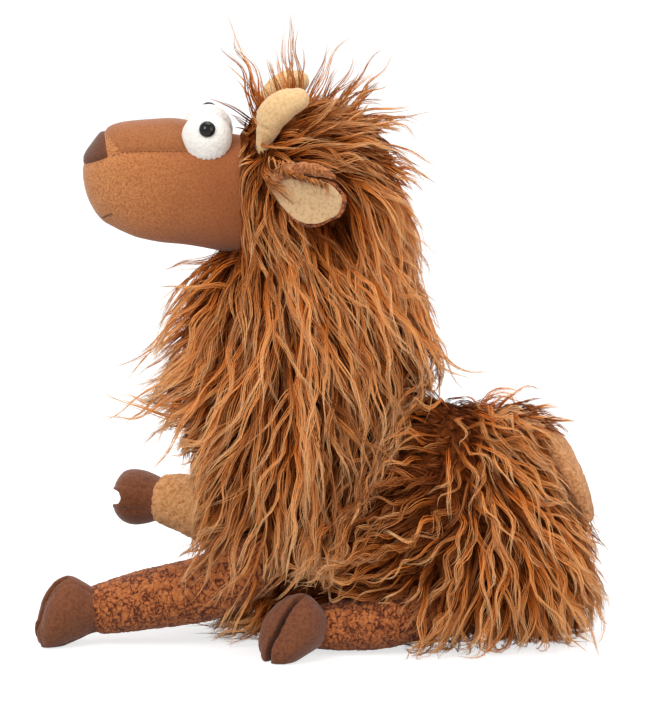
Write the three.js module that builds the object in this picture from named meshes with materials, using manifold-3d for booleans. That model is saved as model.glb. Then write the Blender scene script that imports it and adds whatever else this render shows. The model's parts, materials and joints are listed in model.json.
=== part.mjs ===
// A sitting, long-haired, horned plush animal, in millimetres, +Z up, facing -X.
// Its left side is towards -Y. The torso, the neck and the hood each stand at the height
// where their long coat lies, filled with their own stuffing, with the longest locks on them.
import * as THREE from "three";
import { mergeVertices } from "three/addons/utils/BufferGeometryUtils.js";
import Module from "manifold-3d";

const wasm = await Module();
wasm.setup();

// Driving sizes
const SEAM_GAP = 0.3; // between two covers that are sewn together
const SOCKET_GAP = 1.2; // round the stuffed ball that a limb turns on
const FLAT_DEPTH = 0.5; // how deep the surface below presses a cover flat
const SEAT_LENGTH = 136;
const BODY_HALF_WIDTH = 79;
const BODY_HALF_HEIGHT = 81;
const CHEST_HALF_WIDTH = 60;
const CHEST_HALF_DEPTH = 80; // from the middle of the neck to the front of the chest
const HEAD_HEIGHT = 300; // the middle of the skull above the seat
const HEAD_HALF_WIDTH = 49;
const HEAD_HALF_HEIGHT = 52;
const CROWN_HEIGHT = 350; // where the tuft's locks start
const EYEBALL_RADIUS = 16.3;
const EYE_CENTRE = new THREE.Vector3(-78, 16.1, 331.5);
const PUPIL_RISE = { left: 30, right: 42 }; // degrees above level that each pupil looks
const PUPIL_RADIUS = 5.2;
const SHANK_RADIUS = 2;
const SHANK_LENGTH = 12;
const WASHER_RADIUS = 7;
const WASHER_THICKNESS = 1.6;
const WASHER_DEPTH = 7; // from the eyeball's skin down to the washer
const COVER_THICKNESS = 2.4;
const BRIDGE_SEAM_HEIGHT = 324; // where the snout's top panel meets the cheeks
const NOSE_SEAM = -141; // where the nose patch meets the top panel
const NOSE_CORNER_HEIGHT = 320;
const BRIDGE_BACK = -91; // where the top panel ends, in front of the eyeballs
const SHOULDER = new THREE.Vector3(-50, 34, 54);
const SHOULDER_BALL = 25.6;
const HIP = new THREE.Vector3(62, 42, 30);
const HIP_BALL = 24;
const TAIL_ROOT = new THREE.Vector3(102, 0, 142);
const TAIL_BALL = 8;
const EAR_ROOT = new THREE.Vector3(-36, 50, 306);
const EAR_BALL = 5;
const HOOF_LENGTH = 39;
const HOOF_HALF_WIDTH = 19;
const HOOF_HALF_HEIGHT = 24;
const ANKLE_RADIUS = 14;
const CLEFT_WIDTH = 5.5;
const CLEFT_DEPTH = 13;
const LOCK_HALF_WIDTH = 9; // of the coat's longest locks
const TUFT_HALF_WIDTH = 6;

const ROUND_SEGMENTS = 12;
const SIDES = { left: -1, right: 1 };
const X_AXIS = new THREE.Vector3(1, 0, 0);
const Y_AXIS = new THREE.Vector3(0, 1, 0);
const Z_AXIS = new THREE.Vector3(0, 0, 1);

// Materials
const finish = (color, roughness) => new THREE.MeshStandardMaterial({ color, roughness, metalness: 0 });
const materials = {
  coat: () => finish("#924f27", 0.95),
  tuft: () => finish("#a8662f", 0.95),
  plush: () => finish("#975634", 0.95),
  tail: () => finish("#c78856", 0.95),
  suede: () => finish("#bb774a", 0.9),
  darkSuede: () => finish("#6d422d", 0.9),
  hoof: () => finish("#734431", 0.9),
  velour: () => finish("#e2b17b", 0.9),
  lining: () => finish("#d6b592", 0.9),
  white: () => finish("#f5f3ec", 0.9),
  bead: () => finish("#0c0a09", 0.15),
  washer: () => finish("#e8e6e0", 0.5),
};

// Joining and cutting
function solid(geometry) {
  const bare = geometry.clone();
  bare.deleteAttribute("normal");
  bare.deleteAttribute("uv");
  const merged = mergeVertices(bare, 1e-4);
  return new wasm.Manifold(
    new wasm.Mesh({
      numProp: 3,
      vertProperties: Float32Array.from(merged.attributes.position.array),
      triVerts: Uint32Array.from(merged.index.array),
    }),
  );
}

function geometryOf(body) {
  const { vertProperties, triVerts } = body.getMesh();
  const geometry = new THREE.BufferGeometry();
  geometry.setAttribute("position", new THREE.BufferAttribute(vertProperties, 3));
  geometry.setIndex(new THREE.BufferAttribute(triVerts, 1));
  geometry.computeVertexNormals();
  return geometry;
}

const cut = (body, ...tools) => tools.reduce((left, tool) => left.subtract(tool), body);
const join = (body, ...others) => others.reduce((whole, other) => whole.add(other), body);

// A stuffed form: oval sections along a spine of stations, closed by a dome at each end.
// A station is [x, y, z, half width, half depth]. The width lies along `sideways`.
// A seated form has a flat side down, at one depth all along.
function stuffedForm(stations, options = {}) {
  const { sides = 16, steps = 10, domes = [1, 1], domeSteps = 4, grow = 0 } = options;
  const { facing = null, sideways = Y_AXIS, cup = 0, lift = 0, seated = false } = options;
  const spine = new THREE.CatmullRomCurve3(stations.map(([x, y, z]) => new THREE.Vector3(x, y, z)));
  const sizes = new THREE.CatmullRomCurve3(stations.map(([, , , w, d]) => new THREE.Vector3(w, d, 0)));
  const positions = [];
  const indices = [];

  function addRing(t, along, scale) {
    const normal = facing ? facing.clone() : spine.getTangent(t).normalize();
    const across = sideways.clone().addScaledVector(normal, -sideways.dot(normal)).normalize();
    const deep = normal.clone().cross(across);
    const size = sizes.getPoint(t);
    const centre = spine.getPoint(t).addScaledVector(normal, along);
    if (seated) centre.z = size.y * Math.cos(Math.PI / sides) - FLAT_DEPTH;
    size.addScalar(grow).multiplyScalar(scale);
    for (let i = 0; i < (scale > 0 ? sides : 1); i++) {
      const angle = ((i + (seated ? 0.5 : 0)) / sides) * 2 * Math.PI;
      const u = size.x * Math.cos(angle);
      const v = size.y * Math.sin(angle) + lift + cup * u * u;
      positions.push(...centre.clone().addScaledVector(across, u).addScaledVector(deep, v));
    }
  }

  const domeLength = (end) => (sizes.getPoint(end).y + grow) * domes[end];
  const last = domeSteps * 2 + steps;
  for (let ring = 0; ring <= last; ring++) {
    if (ring < domeSteps) {
      const angle = (ring / domeSteps) * (Math.PI / 2);
      addRing(0, -domeLength(0) * Math.cos(angle), Math.sin(angle));
    } else if (ring <= domeSteps + steps) {
      addRing((ring - domeSteps) / steps, 0, 1);
    } else {
      const angle = ((last - ring) / domeSteps) * (Math.PI / 2);
      addRing(1, domeLength(1) * Math.cos(angle), Math.sin(angle));
    }
  }

  const start = (ring) => 1 + (ring - 1) * sides;
  for (let i = 0; i < sides; i++) {
    const next = (i + 1) % sides;
    indices.push(0, start(1) + next, start(1) + i);
    for (let ring = 1; ring < last - 1; ring++) {
      const [a, b] = [start(ring) + i, start(ring) + next];
      const [c, d] = [start(ring + 1) + next, start(ring + 1) + i];
      indices.push(a, b, c, a, c, d);
    }
    indices.push(start(last - 1) + i, start(last - 1) + next, start(last));
  }
  const geometry = new THREE.BufferGeometry();
  geometry.setAttribute("position", new THREE.Float32BufferAttribute(positions, 3));
  geometry.setIndex(indices);
  return solid(geometry);
}

function block(size, centre) {
  return solid(new THREE.BoxGeometry(...size).translate(...centre));
}

function ball(radius, centre, detail = 16) {
  return solid(new THREE.SphereGeometry(radius, detail, detail / 2).translate(...centre));
}

const sidePoint = (point, side) => new THREE.Vector3(point.x, point.y * side, point.z);

function turnAbout(point, axis, angle) {
  const turn = new THREE.Matrix4().makeRotationAxis(axis, THREE.MathUtils.degToRad(angle));
  const there = new THREE.Matrix4().makeTranslation(point);
  return there.clone().multiply(turn).multiply(there.clone().invert());
}

// Everything below the surface that the animal sits on
const ground = block([800, 400, 50], [0, 0, -25]);

// The body: an egg that lies along its flat seat
function torsoForm(grow = 0) {
  const station = (x, halfWidth, halfHeight) => [x, 0, halfHeight - FLAT_DEPTH, halfWidth, halfHeight];
  const front = -20;
  const stations = [
    station(front, 0.72 * BODY_HALF_WIDTH, 0.78 * BODY_HALF_HEIGHT),
    station(front + 0.38 * SEAT_LENGTH, 0.93 * BODY_HALF_WIDTH, 0.96 * BODY_HALF_HEIGHT),
    station(front + 0.7 * SEAT_LENGTH, BODY_HALF_WIDTH, BODY_HALF_HEIGHT),
    station(front + SEAT_LENGTH, 0.92 * BODY_HALF_WIDTH, 0.88 * BODY_HALF_HEIGHT),
    station(front + 1.22 * SEAT_LENGTH, 0.7 * BODY_HALF_WIDTH, 0.64 * BODY_HALF_HEIGHT),
  ];
  const shape = { sides: 20, steps: 11, domes: [0.8, 0.5], facing: X_AXIS, seated: true };
  return stuffedForm(stations, { ...shape, grow });
}

function headForm(grow = 0) {
  const stations = [
    [-50, 0, HEAD_HEIGHT - 5, 0.82 * HEAD_HALF_WIDTH, 0.88 * HEAD_HALF_HEIGHT],
    [-18, 0, HEAD_HEIGHT - 1, HEAD_HALF_WIDTH, HEAD_HALF_HEIGHT],
    [18, 0, HEAD_HEIGHT - 5, 0.94 * HEAD_HALF_WIDTH, 0.94 * HEAD_HALF_HEIGHT],
  ];
  return stuffedForm(stations, { sides: 18, steps: 6, domes: [0.3, 0.7], facing: X_AXIS, grow });
}

function neckForm() {
  const stations = [
    [-12, 0, 96, 0.94 * CHEST_HALF_WIDTH, 0.88 * CHEST_HALF_DEPTH],
    [-18, 0, 150, CHEST_HALF_WIDTH, CHEST_HALF_DEPTH],
    [-15, 0, 205, CHEST_HALF_WIDTH, CHEST_HALF_DEPTH],
    [-8, 0, 262, 0.86 * CHEST_HALF_WIDTH, 0.8 * CHEST_HALF_DEPTH],
  ];
  return stuffedForm(stations, { sides: 18, steps: 8, domeSteps: 3, domes: [0.6, 0.5] });
}

// The snout: `inset` shrinks it to the stuffing below its cover
function snoutForm(inset = 0) {
  const stations = [
    [-150, 0, 302.5, 19, 22.4],
    [-141, 0, 303.4, 25, 32.5],
    [-116, 0, 300.6, 30, 38.5],
    [-92, 0, 299.7, 32, 39.7],
    [-66, 0, 292.6, 34, 38],
    [-46, 0, 291, 36, 37.5],
  ];
  const shape = { sides: 18, steps: 10, domeSteps: 3, domes: [0.39, 0.1], facing: X_AXIS };
  return stuffedForm(stations, { ...shape, grow: -inset });
}

const headRoom = headForm(SEAM_GAP);
const torsoRoom = torsoForm(SEAM_GAP);

// The snout's cover has three panels, cut apart along their seams
function snoutPanels(eyeRooms) {
  const cover = cut(snoutForm(), headRoom, ...eyeRooms);
  const shell = cut(cover, snoutForm(COVER_THICKNESS));
  const length = 160;
  const height = 60;
  const topHalf = (gap) =>
    block([length, length, height], [-length / 2, 0, BRIDGE_SEAM_HEIGHT + gap + height / 2]);
  const noseTilt = new THREE.Matrix4().makeRotationY(THREE.MathUtils.degToRad(-25));
  const noseWedge = (gap) => {
    const wedge = new THREE.BoxGeometry(length, length, height);
    wedge.translate(-length / 2 - gap, 0, height / 2 + gap).applyMatrix4(noseTilt);
    return solid(wedge.translate(NOSE_SEAM, 0, NOSE_CORNER_HEIGHT));
  };
  const behindEyes = block(
    [length, length, 2 * height],
    [BRIDGE_BACK + length / 2, 0, BRIDGE_SEAM_HEIGHT],
  );
  const nose = shell.intersect(noseWedge(0));
  const bridge = cut(shell.intersect(topHalf(0)), noseWedge(-SEAM_GAP), behindEyes);
  const panelRoom = join(cut(topHalf(-SEAM_GAP), behindEyes), noseWedge(-SEAM_GAP));
  const cheeks = cut(cover, panelRoom.subtract(snoutForm(COVER_THICKNESS + SEAM_GAP)));
  return { nose, bridge, cheeks };
}

// Where an eye looks: outwards and up
function eyeDirection(name) {
  const rise = THREE.MathUtils.degToRad(PUPIL_RISE[name]);
  return new THREE.Vector3(0.04, SIDES[name] * Math.cos(rise), Math.sin(rise)).normalize();
}

// A lathe profile that starts and ends on the axis, turned about +Y
function lathe(profile) {
  const points = profile.map(([radius, y]) => new THREE.Vector2(radius, y));
  return new THREE.LatheGeometry(points, ROUND_SEGMENTS);
}

// A safety eye: a glossy dome on a ribbed shank that points down
function pupilGeometry() {
  const domeHeight = 3.6;
  const rim = 0.7;
  const domeSteps = 4;
  const profile = [[0, -SHANK_LENGTH], [1, -SHANK_LENGTH]];
  for (let y = 2 - SHANK_LENGTH; y < -2; y += 3) {
    profile.push([0.75 * SHANK_RADIUS, y], [SHANK_RADIUS, y + 1.5]);
  }
  profile.push([SHANK_RADIUS, 0], [PUPIL_RADIUS, 0]);
  for (let i = 0; i < domeSteps; i++) {
    const angle = (i / domeSteps) * (Math.PI / 2);
    profile.push([PUPIL_RADIUS * Math.cos(angle), rim + domeHeight * Math.sin(angle)]);
  }
  return lathe([...profile, [0, rim + domeHeight]]);
}

function washerGeometry() {
  const inner = SHANK_RADIUS + SEAM_GAP;
  const half = WASHER_THICKNESS / 2;
  const outside = [[WASHER_RADIUS, -half], [WASHER_RADIUS, half]];
  return lathe([[inner, -half], ...outside, [inner, half], [inner, -half]]);
}

// The hollow that the shank and its washer fill, open at the eyeball's skin
function shankHollow() {
  const bore = SHANK_RADIUS + SEAM_GAP;
  const half = WASHER_THICKNESS / 2 + SEAM_GAP;
  const wide = WASHER_RADIUS + SEAM_GAP;
  const bottom = -SHANK_LENGTH - SEAM_GAP;
  const profile = [[0, bottom], [bore, bottom]];
  profile.push([bore, -WASHER_DEPTH - half], [wide, -WASHER_DEPTH - half]);
  profile.push([wide, -WASHER_DEPTH + half], [bore, -WASHER_DEPTH + half], [bore, 4], [0, 4]);
  return lathe(profile);
}

function eyePieces(name, side) {
  const centre = sidePoint(EYE_CENTRE, side);
  const direction = eyeDirection(name);
  const look = new THREE.Quaternion().setFromUnitVectors(Y_AXIS, direction);
  const seat = centre.clone().addScaledVector(direction, EYEBALL_RADIUS - 0.7);
  const placed = (geometry) => geometry.applyQuaternion(look).translate(...seat);
  const otherHalf = block([60, 40, 60], [centre.x, side * (SEAM_GAP / 2 - 20), centre.z]);
  const roomRadius = PUPIL_RADIUS + SEAM_GAP;
  const pupilRoom = lathe([[0, -SEAM_GAP], [roomRadius, -SEAM_GAP], [roomRadius, 6], [0, 6]]);
  const rooms = [shankHollow(), pupilRoom].map((hollow) => solid(placed(hollow)));
  const eyeball = cut(ball(EYEBALL_RADIUS, centre), otherHalf, ...rooms);
  const pupil = piece(`pupil_${name}`, pupilGeometry(), materials.bead());
  const washer = piece(`eye_washer_${name}`, washerGeometry(), materials.washer());
  for (const mesh of [pupil, washer]) mesh.quaternion.copy(look);
  pupil.position.copy(seat);
  washer.position.copy(seat).addScaledVector(direction, -WASHER_DEPTH);
  return [piece(`eyeball_${name}`, geometryOf(eyeball), materials.white()), pupil, washer];
}

function hornPiece(name, side) {
  const stations = [
    [-41, side * 27, 330, 5.5, 5.5],
    [-38.5, side * 29, 340, 7.6, 7.6],
    [-35.5, side * 31, 349, 9.6, 9.6],
    [-28, side * 33, 356, 9.6, 9.6],
    [-20, side * 34, 359, 7.2, 7.2],
  ];
  const horn = cut(stuffedForm(stations, { sides: 12, steps: 8, domeSteps: 3 }), headRoom);
  return piece(`horn_${name}`, geometryOf(horn), materials.velour());
}

// An ear: a cupped leaf with a cream lining in its hollow, on a ball at its root
function earPieces(name, side) {
  const root = sidePoint(EAR_ROOT, side);
  const leaf = (width, thickness) => [
    [root.x + 5, side * (EAR_ROOT.y + 5), root.z, 5 * width, thickness],
    [root.x + 20, side * (EAR_ROOT.y + 16), root.z - 2, 17 * width, thickness],
    [root.x + 34, side * (EAR_ROOT.y + 25), root.z - 4, 16 * width, thickness],
    [root.x + 44, side * (EAR_ROOT.y + 31), root.z - 6, 8 * width, thickness],
  ];
  const shape = { sides: 14, steps: 8, domeSteps: 2, sideways: Z_AXIS, cup: side * 0.016 };
  const back = join(stuffedForm(leaf(1, 2.6), { ...shape, domes: [1, 2] }), ball(EAR_BALL, root, 12));
  const lift = side * 4.2;
  const lining = stuffedForm(leaf(0.84, 1.2), { ...shape, lift });
  const linedBack = cut(back, stuffedForm(leaf(0.84, 1.2), { ...shape, lift, grow: SEAM_GAP }));
  const sewnLining = cut(lining, ball(EAR_BALL + SEAM_GAP, root, 12));
  return [
    piece(`ear_${name}`, geometryOf(linedBack), materials.plush()),
    piece(`ear_lining_${name}`, geometryOf(sewnLining), materials.lining()),
  ];
}

// A cloven hoof, split by a cleft with a round end that runs through its whole height
function hoofForm(ankle, direction, sideways, grow = 0) {
  const station = (part, halfWidth, halfHeight) => [
    ...ankle.clone().addScaledVector(direction, part * HOOF_LENGTH),
    halfWidth,
    halfHeight,
  ];
  const stations = [
    station(0.16, ANKLE_RADIUS - 2, ANKLE_RADIUS - 1),
    station(0.45, 0.84 * HOOF_HALF_WIDTH, 0.78 * HOOF_HALF_HEIGHT),
    station(0.75, HOOF_HALF_WIDTH, HOOF_HALF_HEIGHT),
  ];
  const shape = { sides: 14, steps: 5, domeSteps: 3, domes: [0.3, 0.35] };
  const form = stuffedForm(stations, { ...shape, sideways, facing: direction, grow });
  const slot = new THREE.Shape();
  slot.moveTo(CLEFT_DEPTH, -CLEFT_WIDTH / 2);
  slot.lineTo(0, -CLEFT_WIDTH / 2);
  slot.absarc(0, 0, CLEFT_WIDTH / 2, -Math.PI / 2, Math.PI / 2, true);
  slot.lineTo(CLEFT_DEPTH, CLEFT_WIDTH / 2);
  const height = 3 * HOOF_HALF_HEIGHT;
  const cleft = new THREE.ExtrudeGeometry(slot, { depth: height, bevelEnabled: false, curveSegments: 3 });
  const across = sideways.clone().addScaledVector(direction, -sideways.dot(direction)).normalize();
  const upright = direction.clone().cross(across);
  const turn = new THREE.Matrix4().makeBasis(direction, across, upright);
  const root = ankle.clone().addScaledVector(direction, HOOF_LENGTH + 4 - CLEFT_DEPTH);
  cleft.translate(0, 0, -height / 2).applyMatrix4(turn).translate(...root);
  return cut(form, solid(cleft));
}

// The four legs: where each turns, the line that it follows to its ankle, and its hoof
// `axis` and `turns` are the joint's line and the degrees at which the coat leaves it room.
const frontLeg = (side, spine, hoofDirection, hoofSideways, axis, turns) => ({
  root: sidePoint(SHOULDER, side),
  rootBall: SHOULDER_BALL,
  axis: axis.normalize(),
  turns,
  spine,
  radii: [1.54, 1.5, 1.39, 1.2].map((share) => share * ANKLE_RADIUS),
  hoofDirection: hoofDirection.normalize(),
  hoofSideways,
});
const hindLeg = (side) => ({
  root: sidePoint(HIP, side),
  rootBall: HIP_BALL,
  axis: Z_AXIS,
  turns: [12, 24, 35].map((angle) => -side * angle),
  spine: [[36, side * 50, 20.5], [12, side * 53, 18], [-8, side * 55, 16.5]],
  radii: [1.5, 1.31, 1.18, 1].map((share) => share * ANKLE_RADIUS),
  hoofDirection: new THREE.Vector3(-0.64, side * 0.73, 0.2).normalize(),
  hoofSideways: Y_AXIS,
});
const restingSpine = [[-80, -31, 37], [-115, -29, 29], [-151, -28, 21]];
const raisedSpine = [[-70, 46, 65], [-90, 55, 72], [-109, 62, 75]];
const restingHoof = new THREE.Vector3(-0.97, -0.22, 0.08);
const raisedHoof = new THREE.Vector3(-0.82, 0.56, -0.08);
const raisedAxis = new THREE.Vector3(0.43, 0.903, 0);
const restingTurns = [12, 23, 34, 45];
const raisedTurns = [-30, -20, -10, 9, 18];
const legs = {
  front_leg_left: frontLeg(SIDES.left, restingSpine, restingHoof, Y_AXIS, Y_AXIS.clone(), restingTurns),
  front_leg_right: frontLeg(SIDES.right, raisedSpine, raisedHoof, Z_AXIS, raisedAxis, raisedTurns),
  hind_leg_left: hindLeg(SIDES.left),
  hind_leg_right: hindLeg(SIDES.right),
};

// A leg is a stuffed tube that tapers to the ankle, with the ball that it turns on at its root
function legTube({ root, spine, radii, hoofSideways }, grow = 0) {
  const stations = [root.toArray(), ...spine].map((point, i) => [...point, radii[i], radii[i]]);
  const shape = { sides: 14, steps: 8, domeSteps: 2, domes: [0.3, 0.2], sideways: hoofSideways, grow };
  return stuffedForm(stations, shape);
}

const legForm = (leg, grow = 0) => join(legTube(leg, grow), ball(leg.rootBall + grow, leg.root));

function legHoof({ spine, hoofDirection, hoofSideways }, grow = 0) {
  return hoofForm(new THREE.Vector3(...spine.at(-1)), hoofDirection, hoofSideways, grow);
}

function legPieces(name, leg) {
  const tube = cut(legForm(leg), legHoof(leg, SEAM_GAP), ground);
  return [
    piece(name, geometryOf(tube), materials.plush()),
    piece(name.replace("leg", "hoof"), geometryOf(cut(legHoof(leg), ground)), materials.hoof()),
  ];
}

function tailForm() {
  const { x, z } = TAIL_ROOT;
  const stations = [
    [x + 4, 0, z, 9, 7],
    [x + 24, 0, z - 2, 19, 9],
    [x + 44, 0, z - 17, 22, 9.5],
    [x + 57, 0, z - 42, 20, 9],
    [x + 65, 0, z - 63, 12, 7],
  ];
  const leaf = stuffedForm(stations, { sides: 14, steps: 8, domeSteps: 3 });
  return cut(join(leaf, ball(TAIL_BALL, TAIL_ROOT, 12)), torsoRoom);
}

// A lock of the coat: it swells from its root, arches by `rise` and tapers to its tip
function coatLock(root, tip, rise, width = LOCK_HALF_WIDTH) {
  const [start, end] = [new THREE.Vector3(...root), new THREE.Vector3(...tip)];
  const middle = start.clone().lerp(end, 0.55).addScaledVector(Z_AXIS, rise);
  const point = end.clone().sub(start).normalize();
  const sideways = Math.abs(point.y) > 0.8 ? X_AXIS : Y_AXIS;
  const stations = [[start, width], [middle, 0.85 * width], [end, 1]];
  const rows = stations.map(([at, size]) => [...at, size, 0.8 * size]);
  return stuffedForm(rows, { sides: 5, steps: 4, domeSteps: 2, domes: [0.5, 1.5], sideways });
}

// The crown tuft: locks that rise from a pad and lean over, each by its own amount
function crownTuft() {
  const ends = [[-34, 0, CROWN_HEIGHT, 20, 7], [10, 0, CROWN_HEIGHT, 22, 7]];
  const pad = stuffedForm(ends, { sides: 12, steps: 3, facing: X_AXIS });
  const tips = [
    [-69, -6, 413], [-66, 10, 374], [-31, 14, 399], [-24, -8, 411], [16, 6, 395],
    [36, -10, 386], [44, 16, 380], [66, -14, 345], [58, 14, 336],
  ];
  const locks = tips.map((tip, i) => {
    const root = [THREE.MathUtils.lerp(-36, 12, i / (tips.length - 1)), i % 2 ? -7 : 7, CROWN_HEIGHT];
    return coatLock(root, tip, 0.08 * (tip[2] - CROWN_HEIGHT), TUFT_HALF_WIDTH);
  });
  return cut(join(pad, ...locks), headRoom);
}

// The longest locks of the chest and the nape, and of the rump
const neckLocks = () => [
  coatLock([-66, -4, 222], [-112, -8, 205], 6),
  coatLock([-68, -22, 192], [-114, -20, 170], 6),
  coatLock([-68, 24, 184], [-112, 30, 160], 6),
  coatLock([-72, 2, 164], [-122, -4, 146], 6),
  coatLock([-66, -34, 150], [-110, -42, 126], 5),
  coatLock([-66, 36, 146], [-106, 48, 124], 5),
  coatLock([44, -16, 252], [82, -20, 214], 8),
  coatLock([44, 18, 236], [84, 24, 196], 8),
  coatLock([44, 0, 196], [104, -4, 176], 10),
];
const rumpLocks = () => [
  coatLock([140, -26, 76], [170, -36, 34], 8),
  coatLock([140, 28, 70], [168, 40, 26], 8),
  coatLock([150, 6, 60], [172, 8, 14], 8),
  coatLock([104, -62, 62], [122, -88, 16], 6),
  coatLock([104, 62, 62], [122, 88, 16], 6),
];

function piece(name, geometry, material) {
  const mesh = new THREE.Mesh(geometry, material);
  mesh.name = name;
  return mesh;
}

// Assembly
const both = Object.entries(SIDES);
const onBothSides = (make) => both.map(([name, side]) => make(name, side));
const eyeRooms = onBothSides((name, side) => ball(EYEBALL_RADIUS + SEAM_GAP, sidePoint(EYE_CENTRE, side)));
const earSockets = onBothSides((name, side) => ball(EAR_BALL + SOCKET_GAP, sidePoint(EAR_ROOT, side), 12));
const legRooms = Object.values(legs).map((leg) => legForm(leg, SOCKET_GAP));
const tailSocket = ball(TAIL_BALL + 2 * SOCKET_GAP, TAIL_ROOT);
const turnedRooms = Object.values(legs).flatMap((leg) => {
  const room = legTube(leg, 2 * SEAM_GAP);
  return leg.turns.map((angle) => room.transform(turnAbout(leg.root, leg.axis, angle).elements));
});

const limbRooms = [...legRooms, ...turnedRooms];
const hoofRooms = Object.values(legs).map((leg) => legHoof(leg, SOCKET_GAP));
const torso = cut(join(torsoForm(), ...rumpLocks()), ground, ...limbRooms, ...hoofRooms, tailSocket);
const head = cut(headForm(), ...eyeRooms, ...earSockets);
const neckWithLocks = join(neckForm(), ...neckLocks());
const neck = cut(neckWithLocks, torsoRoom, headRoom, snoutForm(-SEAM_GAP), ...limbRooms);
const { nose, bridge, cheeks } = snoutPanels(eyeRooms);

const toy = new THREE.Group();
toy.add(
  piece("torso", geometryOf(torso), materials.coat()),
  piece("neck", geometryOf(neck), materials.coat()),
  piece("head_hood", geometryOf(head), materials.coat()),
  piece("muzzle", geometryOf(cheeks), materials.suede()),
  piece("bridge_panel", geometryOf(bridge), materials.suede()),
  piece("nose_patch", geometryOf(nose), materials.darkSuede()),
  piece("tail", geometryOf(tailForm()), materials.tail()),
  piece("crown_tuft", geometryOf(crownTuft()), materials.tuft()),
  ...onBothSides(hornPiece),
  ...onBothSides(eyePieces).flat(),
  ...onBothSides(earPieces).flat(),
  ...Object.entries(legs).flatMap(([name, leg]) => legPieces(name, leg)),
);

// The middle of the animal's outline stands over the origin
const outline = new THREE.Box3().setFromObject(toy, true).getCenter(new THREE.Vector3());
toy.position.set(-outline.x, -outline.y, 0);

export default toy;
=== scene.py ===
"""A sitting, long-haired, horned plush animal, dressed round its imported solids.

Lengths in the classes are millimetres, in the part's own frame: +Z up, -X the way the
snout points, -Y the animal's left side. The covers are sewn and stuffed, the long coat
is mesh strands gathered in locks, and the safety eyes are glossy domes.
"""
import itertools
import json
import logging
import math
from dataclasses import dataclass, field
from enum import Enum

import bpy
import numpy as np
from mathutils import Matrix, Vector
from mathutils.bvhtree import BVHTree

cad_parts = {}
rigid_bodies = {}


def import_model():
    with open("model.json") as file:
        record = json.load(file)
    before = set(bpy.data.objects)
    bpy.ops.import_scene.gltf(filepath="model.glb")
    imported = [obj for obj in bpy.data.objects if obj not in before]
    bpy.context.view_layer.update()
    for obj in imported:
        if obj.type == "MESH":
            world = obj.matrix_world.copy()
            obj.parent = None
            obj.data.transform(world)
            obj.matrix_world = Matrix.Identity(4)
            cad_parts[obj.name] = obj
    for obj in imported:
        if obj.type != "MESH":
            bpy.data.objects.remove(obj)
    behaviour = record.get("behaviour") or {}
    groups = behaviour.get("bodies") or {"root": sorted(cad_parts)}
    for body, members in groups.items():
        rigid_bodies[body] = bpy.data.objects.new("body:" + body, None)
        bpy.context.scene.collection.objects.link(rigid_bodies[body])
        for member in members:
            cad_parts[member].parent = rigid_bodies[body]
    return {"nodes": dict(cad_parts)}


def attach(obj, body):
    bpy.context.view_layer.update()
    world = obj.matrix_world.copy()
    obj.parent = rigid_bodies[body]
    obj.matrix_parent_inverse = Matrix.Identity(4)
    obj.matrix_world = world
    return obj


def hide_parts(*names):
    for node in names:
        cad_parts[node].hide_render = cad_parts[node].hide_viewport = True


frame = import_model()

MM = 0.001
SHIFT = np.array([7.522, -3.595, 0.0])  # from the sewing pattern's frame to the part's
UP = np.array([0.0, 0.0, 1.0])
SIMULATED_STEPS = 20  # of the cloth simulation that presses the covers out
FILLING_PRESSURE = 4.0
CLOTH_STIFFNESS = 0.3
HASH_PRIMES = (73856093, 19349663, 83492791)  # one for each axis of the noise's cells
HASH_ROUNDS = ((13, 1274126177), (15, 2246822519))  # how far the bits shift, and their factor
log = logging.getLogger("plush")


class Side(Enum):
    """The animal's two sides, with the sign of Y on each."""

    LEFT = -1
    RIGHT = 1

    @property
    def word(self) -> str:
        """The side as a word in lower case."""
        return self.name.lower()


# Small tools
def linear(hex_colour: str) -> tuple[float, float, float, float]:
    """Turns an sRGB hex colour to linear.

    Args:
        hex_colour: six hex digits, with or without a leading '#'.

    Returns:
        Red, green, blue and an alpha of 1.
    """
    digits = hex_colour.lstrip("#")
    parts = [int(digits[i:i + 2], 16) / 255 for i in (0, 2, 4)]
    parts = [c / 12.92 if c <= 0.04045 else ((c + 0.055) / 1.055) ** 2.4 for c in parts]
    return (parts[0], parts[1], parts[2], 1.0)


def add_node(tree: bpy.types.NodeTree, kind: str, inputs: dict | None = None, **settings) -> bpy.types.Node:
    """Adds a node with its settings and its links.

    Args:
        tree: the node tree.
        kind: the node's type name.
        inputs: a value or an output socket for each named or numbered input.
        settings: properties of the node itself.

    Returns:
        The new node.
    """
    node = tree.nodes.new(kind)
    for key, value in settings.items():
        setattr(node, key, value)
    for key, value in (inputs or {}).items():
        if isinstance(value, bpy.types.NodeSocket):
            tree.links.new(value, node.inputs[key])
        else:
            node.inputs[key].default_value = value
    return node


def add_ramp(tree: bpy.types.NodeTree, factor: bpy.types.NodeSocket, stops: list[tuple[float, str]]):
    """Adds a colour ramp.

    Args:
        tree: the node tree.
        factor: what runs along the ramp.
        stops: the place and hex colour of each stop.

    Returns:
        The ramp's colour socket.
    """
    ramp = add_node(tree, "ShaderNodeValToRGB", {"Fac": factor})
    elements = ramp.color_ramp.elements
    while len(elements) < len(stops):
        elements.new(0.5)
    for element, (place, colour) in zip(elements, stops):
        element.position = place
        element.color = linear(colour)
    return ramp.outputs["Color"]


def new_material(name: str, looks: dict) -> tuple[bpy.types.Material, bpy.types.NodeTree, bpy.types.Node]:
    """Makes a node material.

    Args:
        name: the material's name.
        looks: values for inputs of its Principled node.

    Returns:
        The material, its tree and its Principled node.
    """
    material = bpy.data.materials.new(name)
    material.use_nodes = True
    shader = material.node_tree.nodes["Principled BSDF"]
    for key, value in looks.items():
        shader.inputs[key].default_value = value
    return material, material.node_tree, shader


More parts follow.
